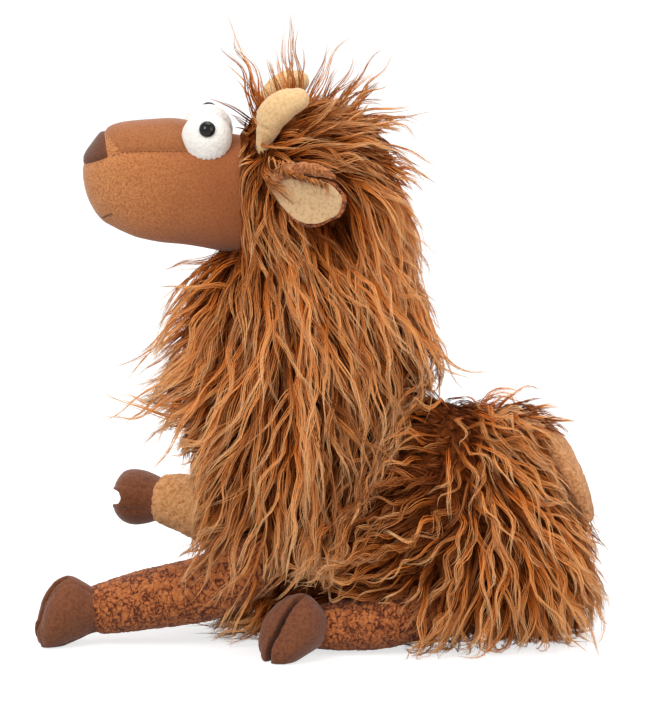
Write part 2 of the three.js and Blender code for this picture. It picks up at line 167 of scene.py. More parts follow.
def object_place(tree: bpy.types.NodeTree) -> bpy.types.NodeSocket:
    """Gives the socket of the place on the object."""
    return add_node(tree, "ShaderNodeTexCoord").outputs["Object"]


def add_noise(tree: bpy.types.NodeTree, place, scale: float, detail: float = 2.0, roughness: float = 0.5,
              distortion: float = 0.0) -> bpy.types.NodeSocket:
    """Adds a noise and gives its value."""
    inputs = {"Vector": place, "Scale": scale, "Detail": detail, "Roughness": roughness,
              "Distortion": distortion}
    return add_node(tree, "ShaderNodeTexNoise", inputs).outputs["Fac"]


def add_math(tree: bpy.types.NodeTree, operation: str, *values) -> bpy.types.NodeSocket:
    """Adds a calculation with numbers or sockets and gives its result."""
    return add_node(tree, "ShaderNodeMath", dict(enumerate(values)), operation=operation).outputs[0]


def add_range(tree: bpy.types.NodeTree, value, start: tuple[float, float] = (0.0, 1.0),
              to: tuple[float, float] = (0.0, 1.0)) -> bpy.types.NodeSocket:
    """Maps a value from one range to another and gives its result."""
    inputs = {"Value": value, "From Min": start[0], "From Max": start[1], "To Min": to[0], "To Max": to[1]}
    return add_node(tree, "ShaderNodeMapRange", inputs).outputs["Result"]


def add_mix(tree: bpy.types.NodeTree, share, first, second) -> bpy.types.NodeSocket:
    """Mixes two colours and gives the result."""
    inputs = {"Factor": share, "A": first, "B": second}
    return add_node(tree, "ShaderNodeMix", inputs, data_type="RGBA").outputs["Result"]


def add_bump(tree: bpy.types.NodeTree, shader: bpy.types.Node, height, strength: float,
             distance: float) -> None:
    """Bends the light by a height, which rises `distance` metres."""
    bump = add_node(tree, "ShaderNodeBump", {"Height": height, "Strength": strength, "Distance": distance})
    tree.links.new(bump.outputs["Normal"], shader.inputs["Normal"])


def points_of(piece: bpy.types.Object) -> np.ndarray:
    """Reads a mesh's vertices, in millimetres."""
    flat = np.empty(len(piece.data.vertices) * 3)
    piece.data.vertices.foreach_get("co", flat)
    return flat.reshape(-1, 3) / MM


def put_points(piece: bpy.types.Object, points: np.ndarray) -> None:
    """Writes a mesh's vertices, in millimetres."""
    piece.data.vertices.foreach_set("co", (points * MM).ravel())
    piece.data.update()


def normals_of(piece: bpy.types.Object) -> np.ndarray:
    """Reads a mesh's smooth vertex normals."""
    flat = np.empty(len(piece.data.vertices) * 3)
    piece.data.vertex_normals.foreach_get("vector", flat)
    return flat.reshape(-1, 3)


def unit(vectors: np.ndarray) -> np.ndarray:
    """Scales each row to length one."""
    return vectors / np.maximum(np.linalg.norm(vectors, axis=-1, keepdims=True), 1e-9)


def cell_noise(points: np.ndarray, seed: int) -> np.ndarray:
    """Smooth noise, one bump to a cell of side one.

    Args:
        points: rows of places.
        seed: which noise.

    Returns:
        A value from -1 to 1 for each row.
    """
    base = np.floor(points).astype(np.int64)
    part = points - base
    part = part * part * (3 - 2 * part)
    total = np.zeros(len(points))
    start = seed * 2654435 + 977
    for corner in itertools.product((0, 1), repeat=3):
        cell = (base + np.array(corner)) * np.array(HASH_PRIMES)
        mixed = cell[:, 0] ^ cell[:, 1] ^ cell[:, 2] ^ start
        for shift, factor in HASH_ROUNDS:
            mixed = (mixed ^ (mixed >> shift)) * factor & 0xFFFFFFFF
        value = (mixed >> 9 & 0xFFFF) / 32767.5 - 1
        weight = np.prod(np.where(np.array(corner) == 1, part, 1 - part), axis=1)
        total += weight * value
    return total


def relief(points: np.ndarray, size: float, seed: int, layers: int = 2) -> np.ndarray:
    """Layered noise on places in millimetres, with bumps `size` millimetres apart."""
    total = sum(cell_noise(points / size * 2 ** i, seed + i) / 2 ** i for i in range(layers))
    return total / sum(0.5 ** i for i in range(layers))


def lumps(points: np.ndarray, *bumps: tuple[float, int, float]) -> np.ndarray:
    """Adds up layered noises, each given by its size, its seed and its height."""
    return sum(relief(points, size, seed) * height for size, seed, height in bumps)


def arc(start: np.ndarray, middle: np.ndarray, end: np.ndarray) -> np.ndarray:
    """Draws a lock's middle line from its root to its tip, bent towards a place between them."""
    part = np.linspace(0, 1, Coat.STEPS + 1)[:, None]
    return start * (1 - part) ** 2 + 2 * middle * part * (1 - part) + end * part ** 2


def along(rows: np.ndarray, places: np.ndarray) -> np.ndarray:
    """Follows a smooth line through rows of numbers.

    Args:
        rows: the numbers at each station.
        places: where to read, from 0 at the first station to 1 at the last.

    Returns:
        The numbers at each place.
    """
    rows = np.asarray(rows, float)
    spans = len(rows) - 1
    where = np.clip(places, 0, 1) * spans
    first = np.minimum(where.astype(int), spans - 1)
    f = (where - first)[:, None]
    ends = np.vstack([2 * rows[0] - rows[1], rows, 2 * rows[-1] - rows[-2]])
    a, b, c, d = ends[first], ends[first + 1], ends[first + 2], ends[first + 3]
    bend = (2 * a - 5 * b + 4 * c - d) * f ** 2
    return 0.5 * (2 * b + (c - a) * f + bend + (3 * b - a - 3 * c + d) * f ** 3)


def select_only(piece: bpy.types.Object) -> None:
    """Selects one object and makes it the active one."""
    bpy.ops.object.select_all(action="DESELECT")
    piece.select_set(True)
    bpy.context.view_layer.objects.active = piece


def apply_modifier(piece: bpy.types.Object, name: str, kind: str, **settings) -> None:
    """Adds a modifier, sets it and applies it."""
    select_only(piece)
    modifier = piece.modifiers.new(name, kind)
    for key, value in settings.items():
        setattr(modifier, key, value)
    bpy.ops.object.modifier_apply(modifier=modifier.name)


def smooth_faces(piece: bpy.types.Object, angle: float | None = None) -> None:
    """Shades a piece smooth, with sharp edges past an angle in degrees if one is given."""
    select_only(piece)
    if angle is None:
        bpy.ops.object.shade_smooth()
    else:
        bpy.ops.object.shade_smooth_by_angle(angle=math.radians(angle))


def settle_faces(piece: bpy.types.Object) -> None:
    """Lists a new sphere's faces by their vertices, because its own order changes from run to run.

    Args:
        piece: the sphere, which has only its geometry yet.
    """
    mesh = piece.data
    faces = []
    for polygon in mesh.polygons:
        corners = list(polygon.vertices)
        first = corners.index(min(corners))
        faces.append(corners[first:] + corners[:first])
    points = [vertex.co[:] for vertex in mesh.vertices]
    mesh.clear_geometry()
    mesh.from_pydata(points, [], sorted(faces))


def turn_outwards(piece: bpy.types.Object) -> None:
    """Merges doubles and turns every face of a closed piece outwards."""
    select_only(piece)
    bpy.ops.object.mode_set(mode="EDIT")
    bpy.ops.mesh.select_all(action="SELECT")
    bpy.ops.mesh.remove_doubles(threshold=1e-6)
    bpy.ops.mesh.normals_make_consistent(inside=False)
    bpy.ops.object.mode_set(mode="OBJECT")


def mark(piece: bpy.types.Object, name: str, values: np.ndarray) -> None:
    """Stores one number on each vertex, for the piece's material."""
    layer = piece.data.attributes.new(name, "FLOAT", "POINT")
    layer.data.foreach_set("value", values.astype(np.float32))


def tree_of(pieces: list[bpy.types.Object], shift: np.ndarray = np.zeros(3)) -> BVHTree:
    """Makes a search tree of the pieces' faces.

    Args:
        pieces: the pieces.
        shift: how far they have been moved out of the pattern's frame.

    Returns:
        The tree, in the pattern's frame, in millimetres.
    """
    points, faces = [], []
    for piece in pieces:
        start = len(points)
        points.extend(Vector(row) for row in points_of(piece) - shift)
        faces.extend([start + i for i in p.vertices] for p in piece.data.polygons)
    return BVHTree.FromPolygons(points, faces)


def depth_under(tree: BVHTree, points: np.ndarray) -> tuple[np.ndarray, np.ndarray]:
    """Measures how far each point is outside a closed surface.

    Args:
        tree: the surface's search tree.
        points: rows of places in millimetres.

    Returns:
        The distance, below zero inside, and the outward direction at the nearest face.
    """
    distance, outward = np.empty(len(points)), np.empty((len(points), 3))
    for i, point in enumerate(points):
        spot, normal, _, gap = tree.find_nearest(Vector(point))
        away = Vector(point) - spot
        inside = away.dot(normal) < 0
        distance[i] = -gap if inside else gap
        outward[i] = normal if inside or gap < 0.5 else away / gap
    return distance, outward


def press_out(cover: bpy.types.Object, cap: float, voxel: float = 4.5, slack: float = 0.04) -> None:
    """Lets a cover's filling press it out, by a cloth simulation on a coarser copy of it.

    Args:
        cover: the cover, which then lies on the simulated copy.
        cap: the furthest that a point of it moves, in millimetres.
        voxel: the copy's grain, in millimetres.
        slack: how much more cloth there is than the form needs.
    """
    copy = cover.copy()
    copy.data = cover.data.copy()
    bpy.context.scene.collection.objects.link(copy)
    put_points(copy, points_of(copy) - normals_of(copy) * cap * 0.5)
    apply_modifier(copy, "skin", "REMESH", mode="VOXEL", voxel_size=voxel * MM, adaptivity=0.0)
    rest = points_of(copy)
    filling = copy.modifiers.new("filling", "CLOTH")
    filling.settings.use_pressure = True
    filling.settings.uniform_pressure_force = FILLING_PRESSURE
    filling.settings.shrink_min = -slack
    filling.settings.bending_stiffness = CLOTH_STIFFNESS
    filling.settings.effector_weights.gravity = 0.0
    for step in range(1, SIMULATED_STEPS + 1):
        bpy.context.scene.frame_set(step)
    select_only(copy)
    bpy.ops.object.modifier_apply(modifier=filling.name)
    moved = points_of(copy) - rest
    far = np.linalg.norm(moved, axis=1, keepdims=True)
    log.info("%s: the filling moves it by %.1f mm at most", cover.name, float(far.max()))
    put_points(copy, rest + moved * np.minimum(1, cap / np.maximum(far, 1e-6)))
    apply_modifier(copy, "finer", "SUBSURF", levels=1, render_levels=1)
    apply_modifier(cover, "lie", "SHRINKWRAP", target=copy, wrap_method="NEAREST_SURFACEPOINT")
    apply_modifier(cover, "ease", "SMOOTH", factor=0.5, iterations=3)
    bpy.data.objects.remove(copy)
    bpy.context.scene.frame_set(1)


def finish_piece(piece: bpy.types.Object, material: bpy.types.Material, body: str,
                 nodes: tuple[str, ...] = ()) -> bpy.types.Object:
    """Dresses a piece and ties it to the frame.

    Args:
        piece: the finished object.
        material: its material.
        body: the body that it rides on.
        nodes: the CAD nodes that it stands for.

    Returns:
        The piece.
    """
    put_points(piece, points_of(piece) + SHIFT)
    piece.data.materials.clear()
    piece.data.materials.append(material)
    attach(piece, body)
    if nodes:
        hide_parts(*nodes)
    log.info("%s: %d faces, rides on %s", piece.name, len(piece.data.polygons), body)
    return piece


# Finishes
@dataclass(frozen=True)
class StrandPile:
    """Long polyester pile: fine glossy fibres, darker at the root as painted shade of the coat's depth, and
    golden at the tip, partly painted highlight.

    Reads only the strands' own UV map: U is how golden the lock is, V runs from root to tip.
    """

    name: str = "long polyester pile"
    # Both ramps darken towards the root: painted shade of the coat's depth. The light ramp's palest stops are
    # partly painted highlight.
    dark: tuple = ((0.0, "#351204"), (0.35, "#5c2409"), (0.75, "#8f4415"), (1.0, "#b3642a"))
    light: tuple = ((0.0, "#8a3408"), (0.3, "#dc7b30"), (0.7, "#feb570"), (1.0, "#ffd8a6"))

    def material(self) -> bpy.types.Material:
        """Builds the node material."""
        material, tree, shader = new_material(self.name, {"Roughness": 0.55, "Specular IOR Level": 0.07})
        uv = add_node(tree, "ShaderNodeUVMap", uv_map="OFBake")
        parts = add_node(tree, "ShaderNodeSeparateXYZ", {0: uv.outputs[0]})
        dark, light = (add_ramp(tree, parts.outputs["Y"], list(stops)) for stops in (self.dark, self.light))
        tree.links.new(add_mix(tree, parts.outputs["X"], dark, light), shader.inputs["Base Color"])
        return material


@dataclass(frozen=True)
class KnitBacking:
    """The knitted backing of long pile, seen only as the ground between the locks, coloured dark as painted
    shade of the gaps between them.
    """

    name: str = "knitted pile backing"
    # Both colours are painted shade: the darkness of the gaps between the locks.
    colour: str = "#7a3d16"
    deep: str = "#3a1706"

    def material(self) -> bpy.types.Material:
        """Builds the node material."""
        material, tree, shader = new_material(self.name, {"Roughness": 0.95, "Specular IOR Level": 0.05})
        tufts = add_noise(tree, object_place(tree), 260.0, 3.0, 0.6)
        colour = add_ramp(tree, tufts, [(0.35, self.deep), (0.7, self.colour)])
        tree.links.new(colour, shader.inputs["Base Color"])
        add_bump(tree, shader, tufts, 0.8, 0.002)
        return material


@dataclass(frozen=True)
class Suede:
    """Brushed microfibre suede: a fine speckled nap that catches light at its edges.

    Where `back` is given, the colour runs from `colour` at `front_x` to `back` at `back_x`: painted light at
    the front and painted shade towards the back.
    """

    name: str
    colour: str
    speck: str
    back: str | None = None
    middle: str | None = None
    front_x: float = -158.0
    back_x: float = -50.0
    nap: float = 0.75  # millimetres between the nap's specks, as coarse as they need to be to show

    def material(self) -> bpy.types.Material:
        """Builds the node material."""
        material, tree, shader = new_material(self.name, {
            "Roughness": 0.9, "Specular IOR Level": 0.2, "Sheen Weight": 0.25, "Sheen Roughness": 0.5})
        place = object_place(tree)
        nap = add_noise(tree, place, 1 / (self.nap * MM) / 1.6, roughness=0.65)
        ground = linear(self.colour)
        if self.back:
            parts = add_node(tree, "ShaderNodeSeparateXYZ", {0: place})
            # The front-to-back run is painted light and shade; a coarse noise makes its edge uneven.
            run = add_range(tree, parts.outputs["X"], (self.front_x * MM, self.back_x * MM))
            painted_light_wobble = add_noise(tree, place, 42.0)
            run = add_math(tree, "ADD", run, add_math(tree, "MULTIPLY", painted_light_wobble, 0.25))
            ground = add_ramp(tree, run, [(0.12, self.colour), (0.55, self.middle), (1.0, self.back)])
        specks = add_range(tree, nap, (0.4, 0.68), (0.0, 0.75))
        tree.links.new(add_mix(tree, specks, ground, linear(self.speck)), shader.inputs["Base Color"])
        add_bump(tree, shader, nap, 0.5, 0.0006)
        return material


@dataclass(frozen=True)
class ShortPile:
    """Short crushed pile: fibres a few millimetres long that part in small creases, painted darker as painted
    shade.

    Reads the piece's own `pile` attribute, 0 in a crease and 1 on top of the pile; the tops are painted a
    little lighter as painted light.
    """

    name: str
    crest: str
    body: str
    crease: str
    grain: float = 0.8  # millimetres between fibre ends
    fold: float = 3.4  # millimetres between creases
    crush: float = 0.26  # how strongly the painted crease shade shows

    def material(self) -> bpy.types.Material:
        """Builds the node material."""
        material, tree, shader = new_material(self.name, {
            "Roughness": 0.85, "Specular IOR Level": 0.25, "Sheen Weight": 0.15, "Sheen Roughness": 0.5})
        place = object_place(tree)
        height = add_node(tree, "ShaderNodeAttribute", attribute_name="pile").outputs["Fac"]
        combed = add_node(tree, "ShaderNodeMapping", {"Vector": place, "Scale": (0.45, 0.8, 1.0)})
        fibres = add_noise(tree, combed.outputs[0], 1 / (self.grain * MM) / 1.5, 4.0, 0.75)
        bent = add_node(tree, "ShaderNodeMapping", {"Vector": place, "Scale": (1.2, 0.8, 0.75)})
        folds = add_noise(tree, bent.outputs[0], 1 / (self.fold * MM) / 1.5, distortion=0.6)
        # The fold lines take the dark crease colour: painted shade.
        off_line = add_math(tree, "ABSOLUTE", add_math(tree, "SUBTRACT", folds, 0.5))
        off_crease_shade = add_range(tree, off_line, (0.0, 0.075))
        mixed = add_math(tree, "MULTIPLY", fibres, 0.7)
        mixed = add_math(tree, "MULTIPLY_ADD", off_crease_shade, self.crush, mixed)
        mixed = add_math(tree, "MULTIPLY_ADD", height, 0.2, mixed)
        top = 0.5 + self.crush
        colour = add_ramp(tree, mixed, [(top - 0.26, self.crease), (top - 0.08, self.body),
                                        (top + 0.08, self.crest)])
        tree.links.new(colour, shader.inputs["Base Color"])
        add_bump(tree, shader, fibres, 0.7, 0.001)
        return material


@dataclass(frozen=True)
class Velour:
    """Cream or white velour: a dense, even pile with soft pimples, and painted shade in the hollows between
    them.
    """

    name: str
    colour: str
    # the painted shade of the hollows between the pimples
    hollow: str
    grain: float = 1.8  # millimetres between the pile's pimples

    def material(self) -> bpy.types.Material:
        """Builds the node material."""
        material, tree, shader = new_material(self.name, {
            "Roughness": 0.9, "Specular IOR Level": 0.2, "Sheen Weight": 0.2})
        pimples = add_noise(tree, object_place(tree), 1 / (self.grain * MM) / 1.5, roughness=0.6)
        colour = add_ramp(tree, pimples, [(0.3, self.hollow), (0.55, self.colour)])
        tree.links.new(colour, shader.inputs["Base Color"])
        add_bump(tree, shader, pimples, 0.6, 0.001)
        return material


@dataclass(frozen=True)
class GlossyBead:
    """Moulded black acrylic: a hard polished dome with crisp highlights."""

    name: str = "moulded black acrylic"
    colour: str = "#0b0908"

    def material(self) -> bpy.types.Material:
        """Builds the node material."""
        material, tree, shader = new_material(self.name, {
            "Base Color": linear(self.colour), "IOR": 1.49, "Specular IOR Level": 0.3})
        scuffs = add_noise(tree, object_place(tree), 900.0)
        tree.links.new(add_range(tree, scuffs, to=(0.03, 0.09)), shader.inputs["Roughness"])
        return material


@dataclass(frozen=True)
class MouldedWasher:
    """Moulded natural polypropylene: a milky, slightly waxy plastic."""

    name: str = "moulded natural polypropylene"
    colour: str = "#e8e6e0"
    cloudy: str = "#dcdad2"

    def material(self) -> bpy.types.Material:
        """Builds the node material."""
        material, tree, shader = new_material(self.name, {"Roughness": 0.45})
        cloud = add_noise(tree, object_place(tree), 400.0)
        colour = add_ramp(tree, cloud, [(0.3, self.cloudy), (0.7, self.colour)])
        tree.links.new(colour, shader.inputs["Base Color"])
        return material


@dataclass(frozen=True)
class SewingThread:
    """Spun polyester thread: a dull dark line with a slight twist of shade."""

    name: str = "spun polyester thread"
    colour: str = "#4a2818"
    light: str = "#6a3d26"

    def material(self) -> bpy.types.Material:
        """Builds the node material."""
        material, tree, shader = new_material(self.name, {"Roughness": 0.7})
        twist = add_noise(tree, object_place(tree), 1500.0)
        colour = add_ramp(tree, twist, [(0.35, self.colour), (0.65, self.light)])
        tree.links.new(colour, shader.inputs["Base Color"])
        return material


class Finishes:
    """Every material of the animal, built once."""

    def __init__(self):
        """Builds the materials."""
        self.coat = StrandPile().material()
        self.backing = KnitBacking().material()
        # The snout's suedes are lighter at the front and darker towards the back: painted light and shade.
        self.snout = Suede("caramel microfibre suede", "#d8955e", "#874821", "#a05d34", "#be7947").material()
        self.snout_top = Suede(
            "honey microfibre suede", "#ac6c41", "#84491f", "#955b35", "#a7673c"
        ).material()
        self.nose = Suede("dark brown microfibre suede", "#6e4029", "#4a2716").material()
        self.hoof = Suede("umber microfibre suede", "#7f4a2e", "#5a301b", nap=1.4).material()
        self.leg = ShortPile("rust short pile", "#c97a42", "#a1572b", "#50200a").material()
        # A lighter copy of the rust leg pile, for the leg that is held up: painted light.
        self.tan = ShortPile("tan short pile", "#e6ac74", "#d19259", "#a4683a", crush=0.1).material()
        self.russet = ShortPile("russet short pile", "#cf8c58", "#ab6635", "#6e391a", crush=0.15).material()
        self.tail = ShortPile("caramel short pile", "#e4a872", "#cf8f5a", "#9a6238", crush=0.12).material()
        self.horn = Velour("honey cream velour", "#e5bf8d", "#d2a56e", grain=1.3).material()
        self.lining = Velour("pale cream velour", "#d0ab80", "#b78f66", grain=1.6).material()
        self.eyeball = Velour("white fleece", "#f4f1ea", "#eae2d8", grain=1.3).material()
        self.bead = GlossyBead().material()
        self.washer = MouldedWasher().material()
        self.thread = SewingThread().material()


# Stuffed forms
@dataclass
class StuffedForm:
    """A sewn cover drawn tight over its stuffing: oval sections along a spine.

    A station is (x, y, z, half width, half depth). The width lies along `sideways`.
    """

    name: str
    stations: list[tuple[float, float, float, float, float]]
    domes: tuple[float, float] = (1.0, 1.0)
    rings: int = 48
    segments: int = 48
    sideways: tuple[float, float, float] = (0.0, 1.0, 0.0)
    facing: tuple[float, float, float] | None = None
    square: float = 2.0  # 2 is an oval, more is boxier
    floor: float | None = None  # a seated form is pressed flat at this height
    smoothing: int = 0

    def build(self) -> bpy.types.Object:
        """Adds a UV sphere and draws its rings out to the sections.

        Returns:
            The closed form, in the part's frame.
        """
        bpy.ops.object.select_all(action="DESELECT")
        bpy.ops.mesh.primitive_uv_sphere_add(segments=self.segments, ring_count=self.rings, radius=1)
        piece = bpy.context.object
        piece.name = piece.data.name = self.name
        settle_faces(piece)
        ball = points_of(piece) * MM
        polar = np.arccos(np.clip(ball[:, 2], -1, 1)) / np.pi
        turn = np.arctan2(ball[:, 1], ball[:, 0])
        put_points(piece, self.drawn(polar, turn))
        turn_outwards(piece)
        if self.smoothing:
            apply_modifier(piece, "ease", "SMOOTH", factor=0.5, iterations=self.smoothing)
        smooth_faces(piece)
        return piece

    def drawn(self, polar: np.ndarray, turn: np.ndarray) -> np.ndarray:
        """Finds where the sphere's vertices go.

        Args:
            polar: 0 at the first pole to 1 at the last.
            turn: the angle round the spine.

        Returns:
            A place for each vertex, in millimetres.
        """
        rows = np.array(self.stations, float)
        lengths = np.linalg.norm(np.diff(rows[:, :3], axis=0), axis=1)
        ends = [rows[0, 4] * self.domes[0], rows[-1, 4] * self.domes[1]]
        total = lengths.sum() + sum(ends)
        start, stop = ends[0] / total, 1 - ends[1] / total
        scale = np.ones(len(polar))
        reach = np.zeros(len(polar))
        first, last = polar < start, polar > stop
        angle = polar[first] / start * np.pi / 2
        scale[first], reach[first] = np.sin(angle), -ends[0] * np.cos(angle)
        angle = (1 - polar[last]) / max(1 - stop, 1e-9) * np.pi / 2
        scale[last], reach[last] = np.sin(angle), ends[1] * np.cos(angle)
        place = np.clip((polar - start) / (stop - start), 0, 1)
        marks = np.concatenate([[0], np.cumsum(lengths)]) / lengths.sum()
        place = np.interp(place, marks, np.linspace(0, 1, len(marks)))
        at = along(rows, place)
        if self.facing is None:
            step = 1e-3
            after, before = along(rows, np.minimum(place + step, 1)), along(rows, np.maximum(place - step, 0))
            ahead = unit(after[:, :3] - before[:, :3])
        else:
            ahead = np.tile(np.array(self.facing, float), (len(polar), 1))
        side = np.array(self.sideways, float)
        across = unit(side - (ahead @ side)[:, None] * ahead)
        deep = np.cross(ahead, across)
        u, v = np.cos(turn), np.sin(turn)
        u = np.sign(u) * np.abs(u) ** (2 / self.square)
        v = np.sign(v) * np.abs(v) ** (2 / self.square)
        spot = at[:, :3] + ahead * reach[:, None]
        spot = spot + across * (at[:, 3] * scale * u)[:, None] + deep * (at[:, 4] * scale * v)[:, None]
        if self.floor is not None:
            spot[:, 2] = np.maximum(spot[:, 2], self.floor)
        return spot


# The studio
@dataclass
class Studio:
    """A white sweep, soft light from above and the photograph's point of view."""

    elevation: float = 12.0
    target: tuple[float, float, float] = (7.547, -2.172, 182.0)
    frame_height: float = 467.35  # millimetres that the picture's long side takes in
    lens: float = 350.0
    sensor: float = 36.0
    floor_share: float = 0.5  # of the floor's white that takes the shadow
    glow: float = 0.7  # the light of the floor's other share
    ambient: float = 0.62  # the world's light on the animal, where what shows behind it is 1
    lamps: tuple = (("key", (-900, -1300, 1500), 900, 21.0), ("fill", (1300, -900, 900), 1100, 9.0),
                    ("top", (100, 300, 1700), 900, 9.0))  # name, place, size and power

    def build(self) -> None:
        """Makes the camera, the floor, the world and the lamps."""
        self.camera()
        self.floor()
        self.world()
        for lamp in self.lamps:
            self.lamp(*lamp)

    def camera(self) -> None:
        """Places the camera in front of the animal's left side."""
        data = bpy.data.cameras.new("camera")
        camera = bpy.data.objects.new("camera", data)
        bpy.context.scene.collection.objects.link(camera)
        data.sensor_width = self.sensor
        data.sensor_fit = "AUTO"
        data.lens = self.lens
        distance = self.lens * self.frame_height / self.sensor
        rise = math.radians(self.elevation)
        back = Vector((0, -math.cos(rise), math.sin(rise)))
        camera.location = (Vector(self.target) + back * distance) * MM
        camera.rotation_euler = (-back).to_track_quat("-Z", "Y").to_euler()
        data.clip_start, data.clip_end = 0.1, 20
        bpy.context.scene.camera = camera
        bpy.context.scene.view_settings.view_transform = "Standard"

    def floor(self) -> None:
        """Lays a white floor that keeps a soft shadow."""
        bpy.ops.object.select_all(action="DESELECT")
        bpy.ops.mesh.primitive_plane_add(size=12, location=(0, 0, -0.0003))
        floor = bpy.context.object
        floor.name = "floor"
        material, tree, shader = new_material("white paper sweep", {
            "Base Color": (*[self.floor_share] * 3, 1.0), "Roughness": 1.0, "Specular IOR Level": 0.0})
        level = add_math(tree, "MULTIPLY", self.seen(tree), self.glow)
        glow = add_node(tree, "ShaderNodeEmission", {"Strength": level})
        total = add_node(tree, "ShaderNodeAddShader", {0: shader.outputs[0], 1: glow.outputs[0]})
        tree.links.new(total.outputs[0], tree.nodes["Material Output"].inputs["Surface"])
        floor.data.materials.append(material)

    @staticmethod
    def seen(tree: bpy.types.NodeTree) -> bpy.types.NodeSocket:
        """Gives 1 where a surface is seen, directly or in a gloss, and 0 where it only lights."""
        path = add_node(tree, "ShaderNodeLightPath").outputs
        seen = add_math(tree, "MAXIMUM", path["Is Camera Ray"], path["Is Glossy Ray"])
        return add_math(tree, "MAXIMUM", seen, path["Is Transmission Ray"])

    def world(self) -> None:
        """Lights the object evenly, and shows white behind it."""
        world = bpy.data.worlds.new("studio")
        bpy.context.scene.world = world
        world.use_nodes = True
        tree = world.node_tree
        back = tree.nodes["Background"]
        back.inputs["Color"].default_value = (1, 1, 1, 1)
        level = add_range(tree, self.seen(tree), to=(self.ambient, 1.0))
        tree.links.new(level, back.inputs["Strength"])

    def lamp(self, name: str, place: tuple[float, float, float], size: float, power: float) -> None:
        """Adds a square softbox that looks at the animal."""
        data = bpy.data.lights.new(name, "AREA")
        data.shape, data.size, data.energy = "SQUARE", size * MM, power
        lamp = bpy.data.objects.new(name, data)
        bpy.context.scene.collection.objects.link(lamp)
        lamp.location = Vector(place) * MM
        lamp.rotation_euler = (Vector(self.target) * MM - lamp.location).to_track_quat("-Z", "Y").to_euler()


# Covers under the coat
@dataclass
class BodyCovers:
    """The torso, the neck and the head's hood: stuffed covers that carry the long pile."""

    seat_length: float = 136.0
    half_width: float = 79.0
    half_height: float = 81.0
    pile: float = 9.0  # how far the backing lies below the coat's surface
    front: float = -20.0
    # Along the torso: the share of its length, of its width and of its height
    swell: tuple = ((0, 0.72, 0.78), (0.38, 0.93, 0.96), (0.7, 1, 1), (1, 0.92, 0.88), (1.22, 0.7, 0.64))
    made: dict[str, bpy.types.Object] = field(default_factory=dict)

    def build(self, finishes: Finishes) -> None:
        """Makes and dresses the three covers."""
        torso = []
        for part, wide, high in self.swell:
            w, h = wide * self.half_width - self.pile, high * self.half_height - self.pile
            torso.append((self.front + part * self.seat_length, 0, high * self.half_height - 0.5, w, h))
        forms = [
            StuffedForm("torso_cover", torso, domes=(0.7, 0.45), facing=(1, 0, 0), floor=0.6),
            StuffedForm("neck_cover", [(-12, 0, 100, 47, 61), (-18, 0, 150, 50, 70), (-15, 0, 205, 50, 69),
                                       (-8, 0, 262, 42, 53)], domes=(0.5, 0.5)),
            StuffedForm("head_cover", [(-50, 0, 295, 37, 43), (-18, 0, 299, 44, 47), (16, 0, 295, 40, 43)],
                        domes=(0.3, 0.62), facing=(1, 0, 0)),
        ]
        for form, node in zip(forms, ("torso", "neck", "head_hood")):
            piece = form.build()
            press_out(piece, 2.0, voxel=6.0)
            points = points_of(piece)
            lift = lumps(points, (22.0, 5, 1.2), (6.0, 9, 0.6))
            put_points(piece, points + normals_of(piece) * lift[:, None])
            finish_piece(piece, finishes.backing, "body", (node,))
            self.made[node] = piece


# The snout
NOSE_TILTS = (math.radians(25), math.radians(11))  # of the nose patch's lower and back edges


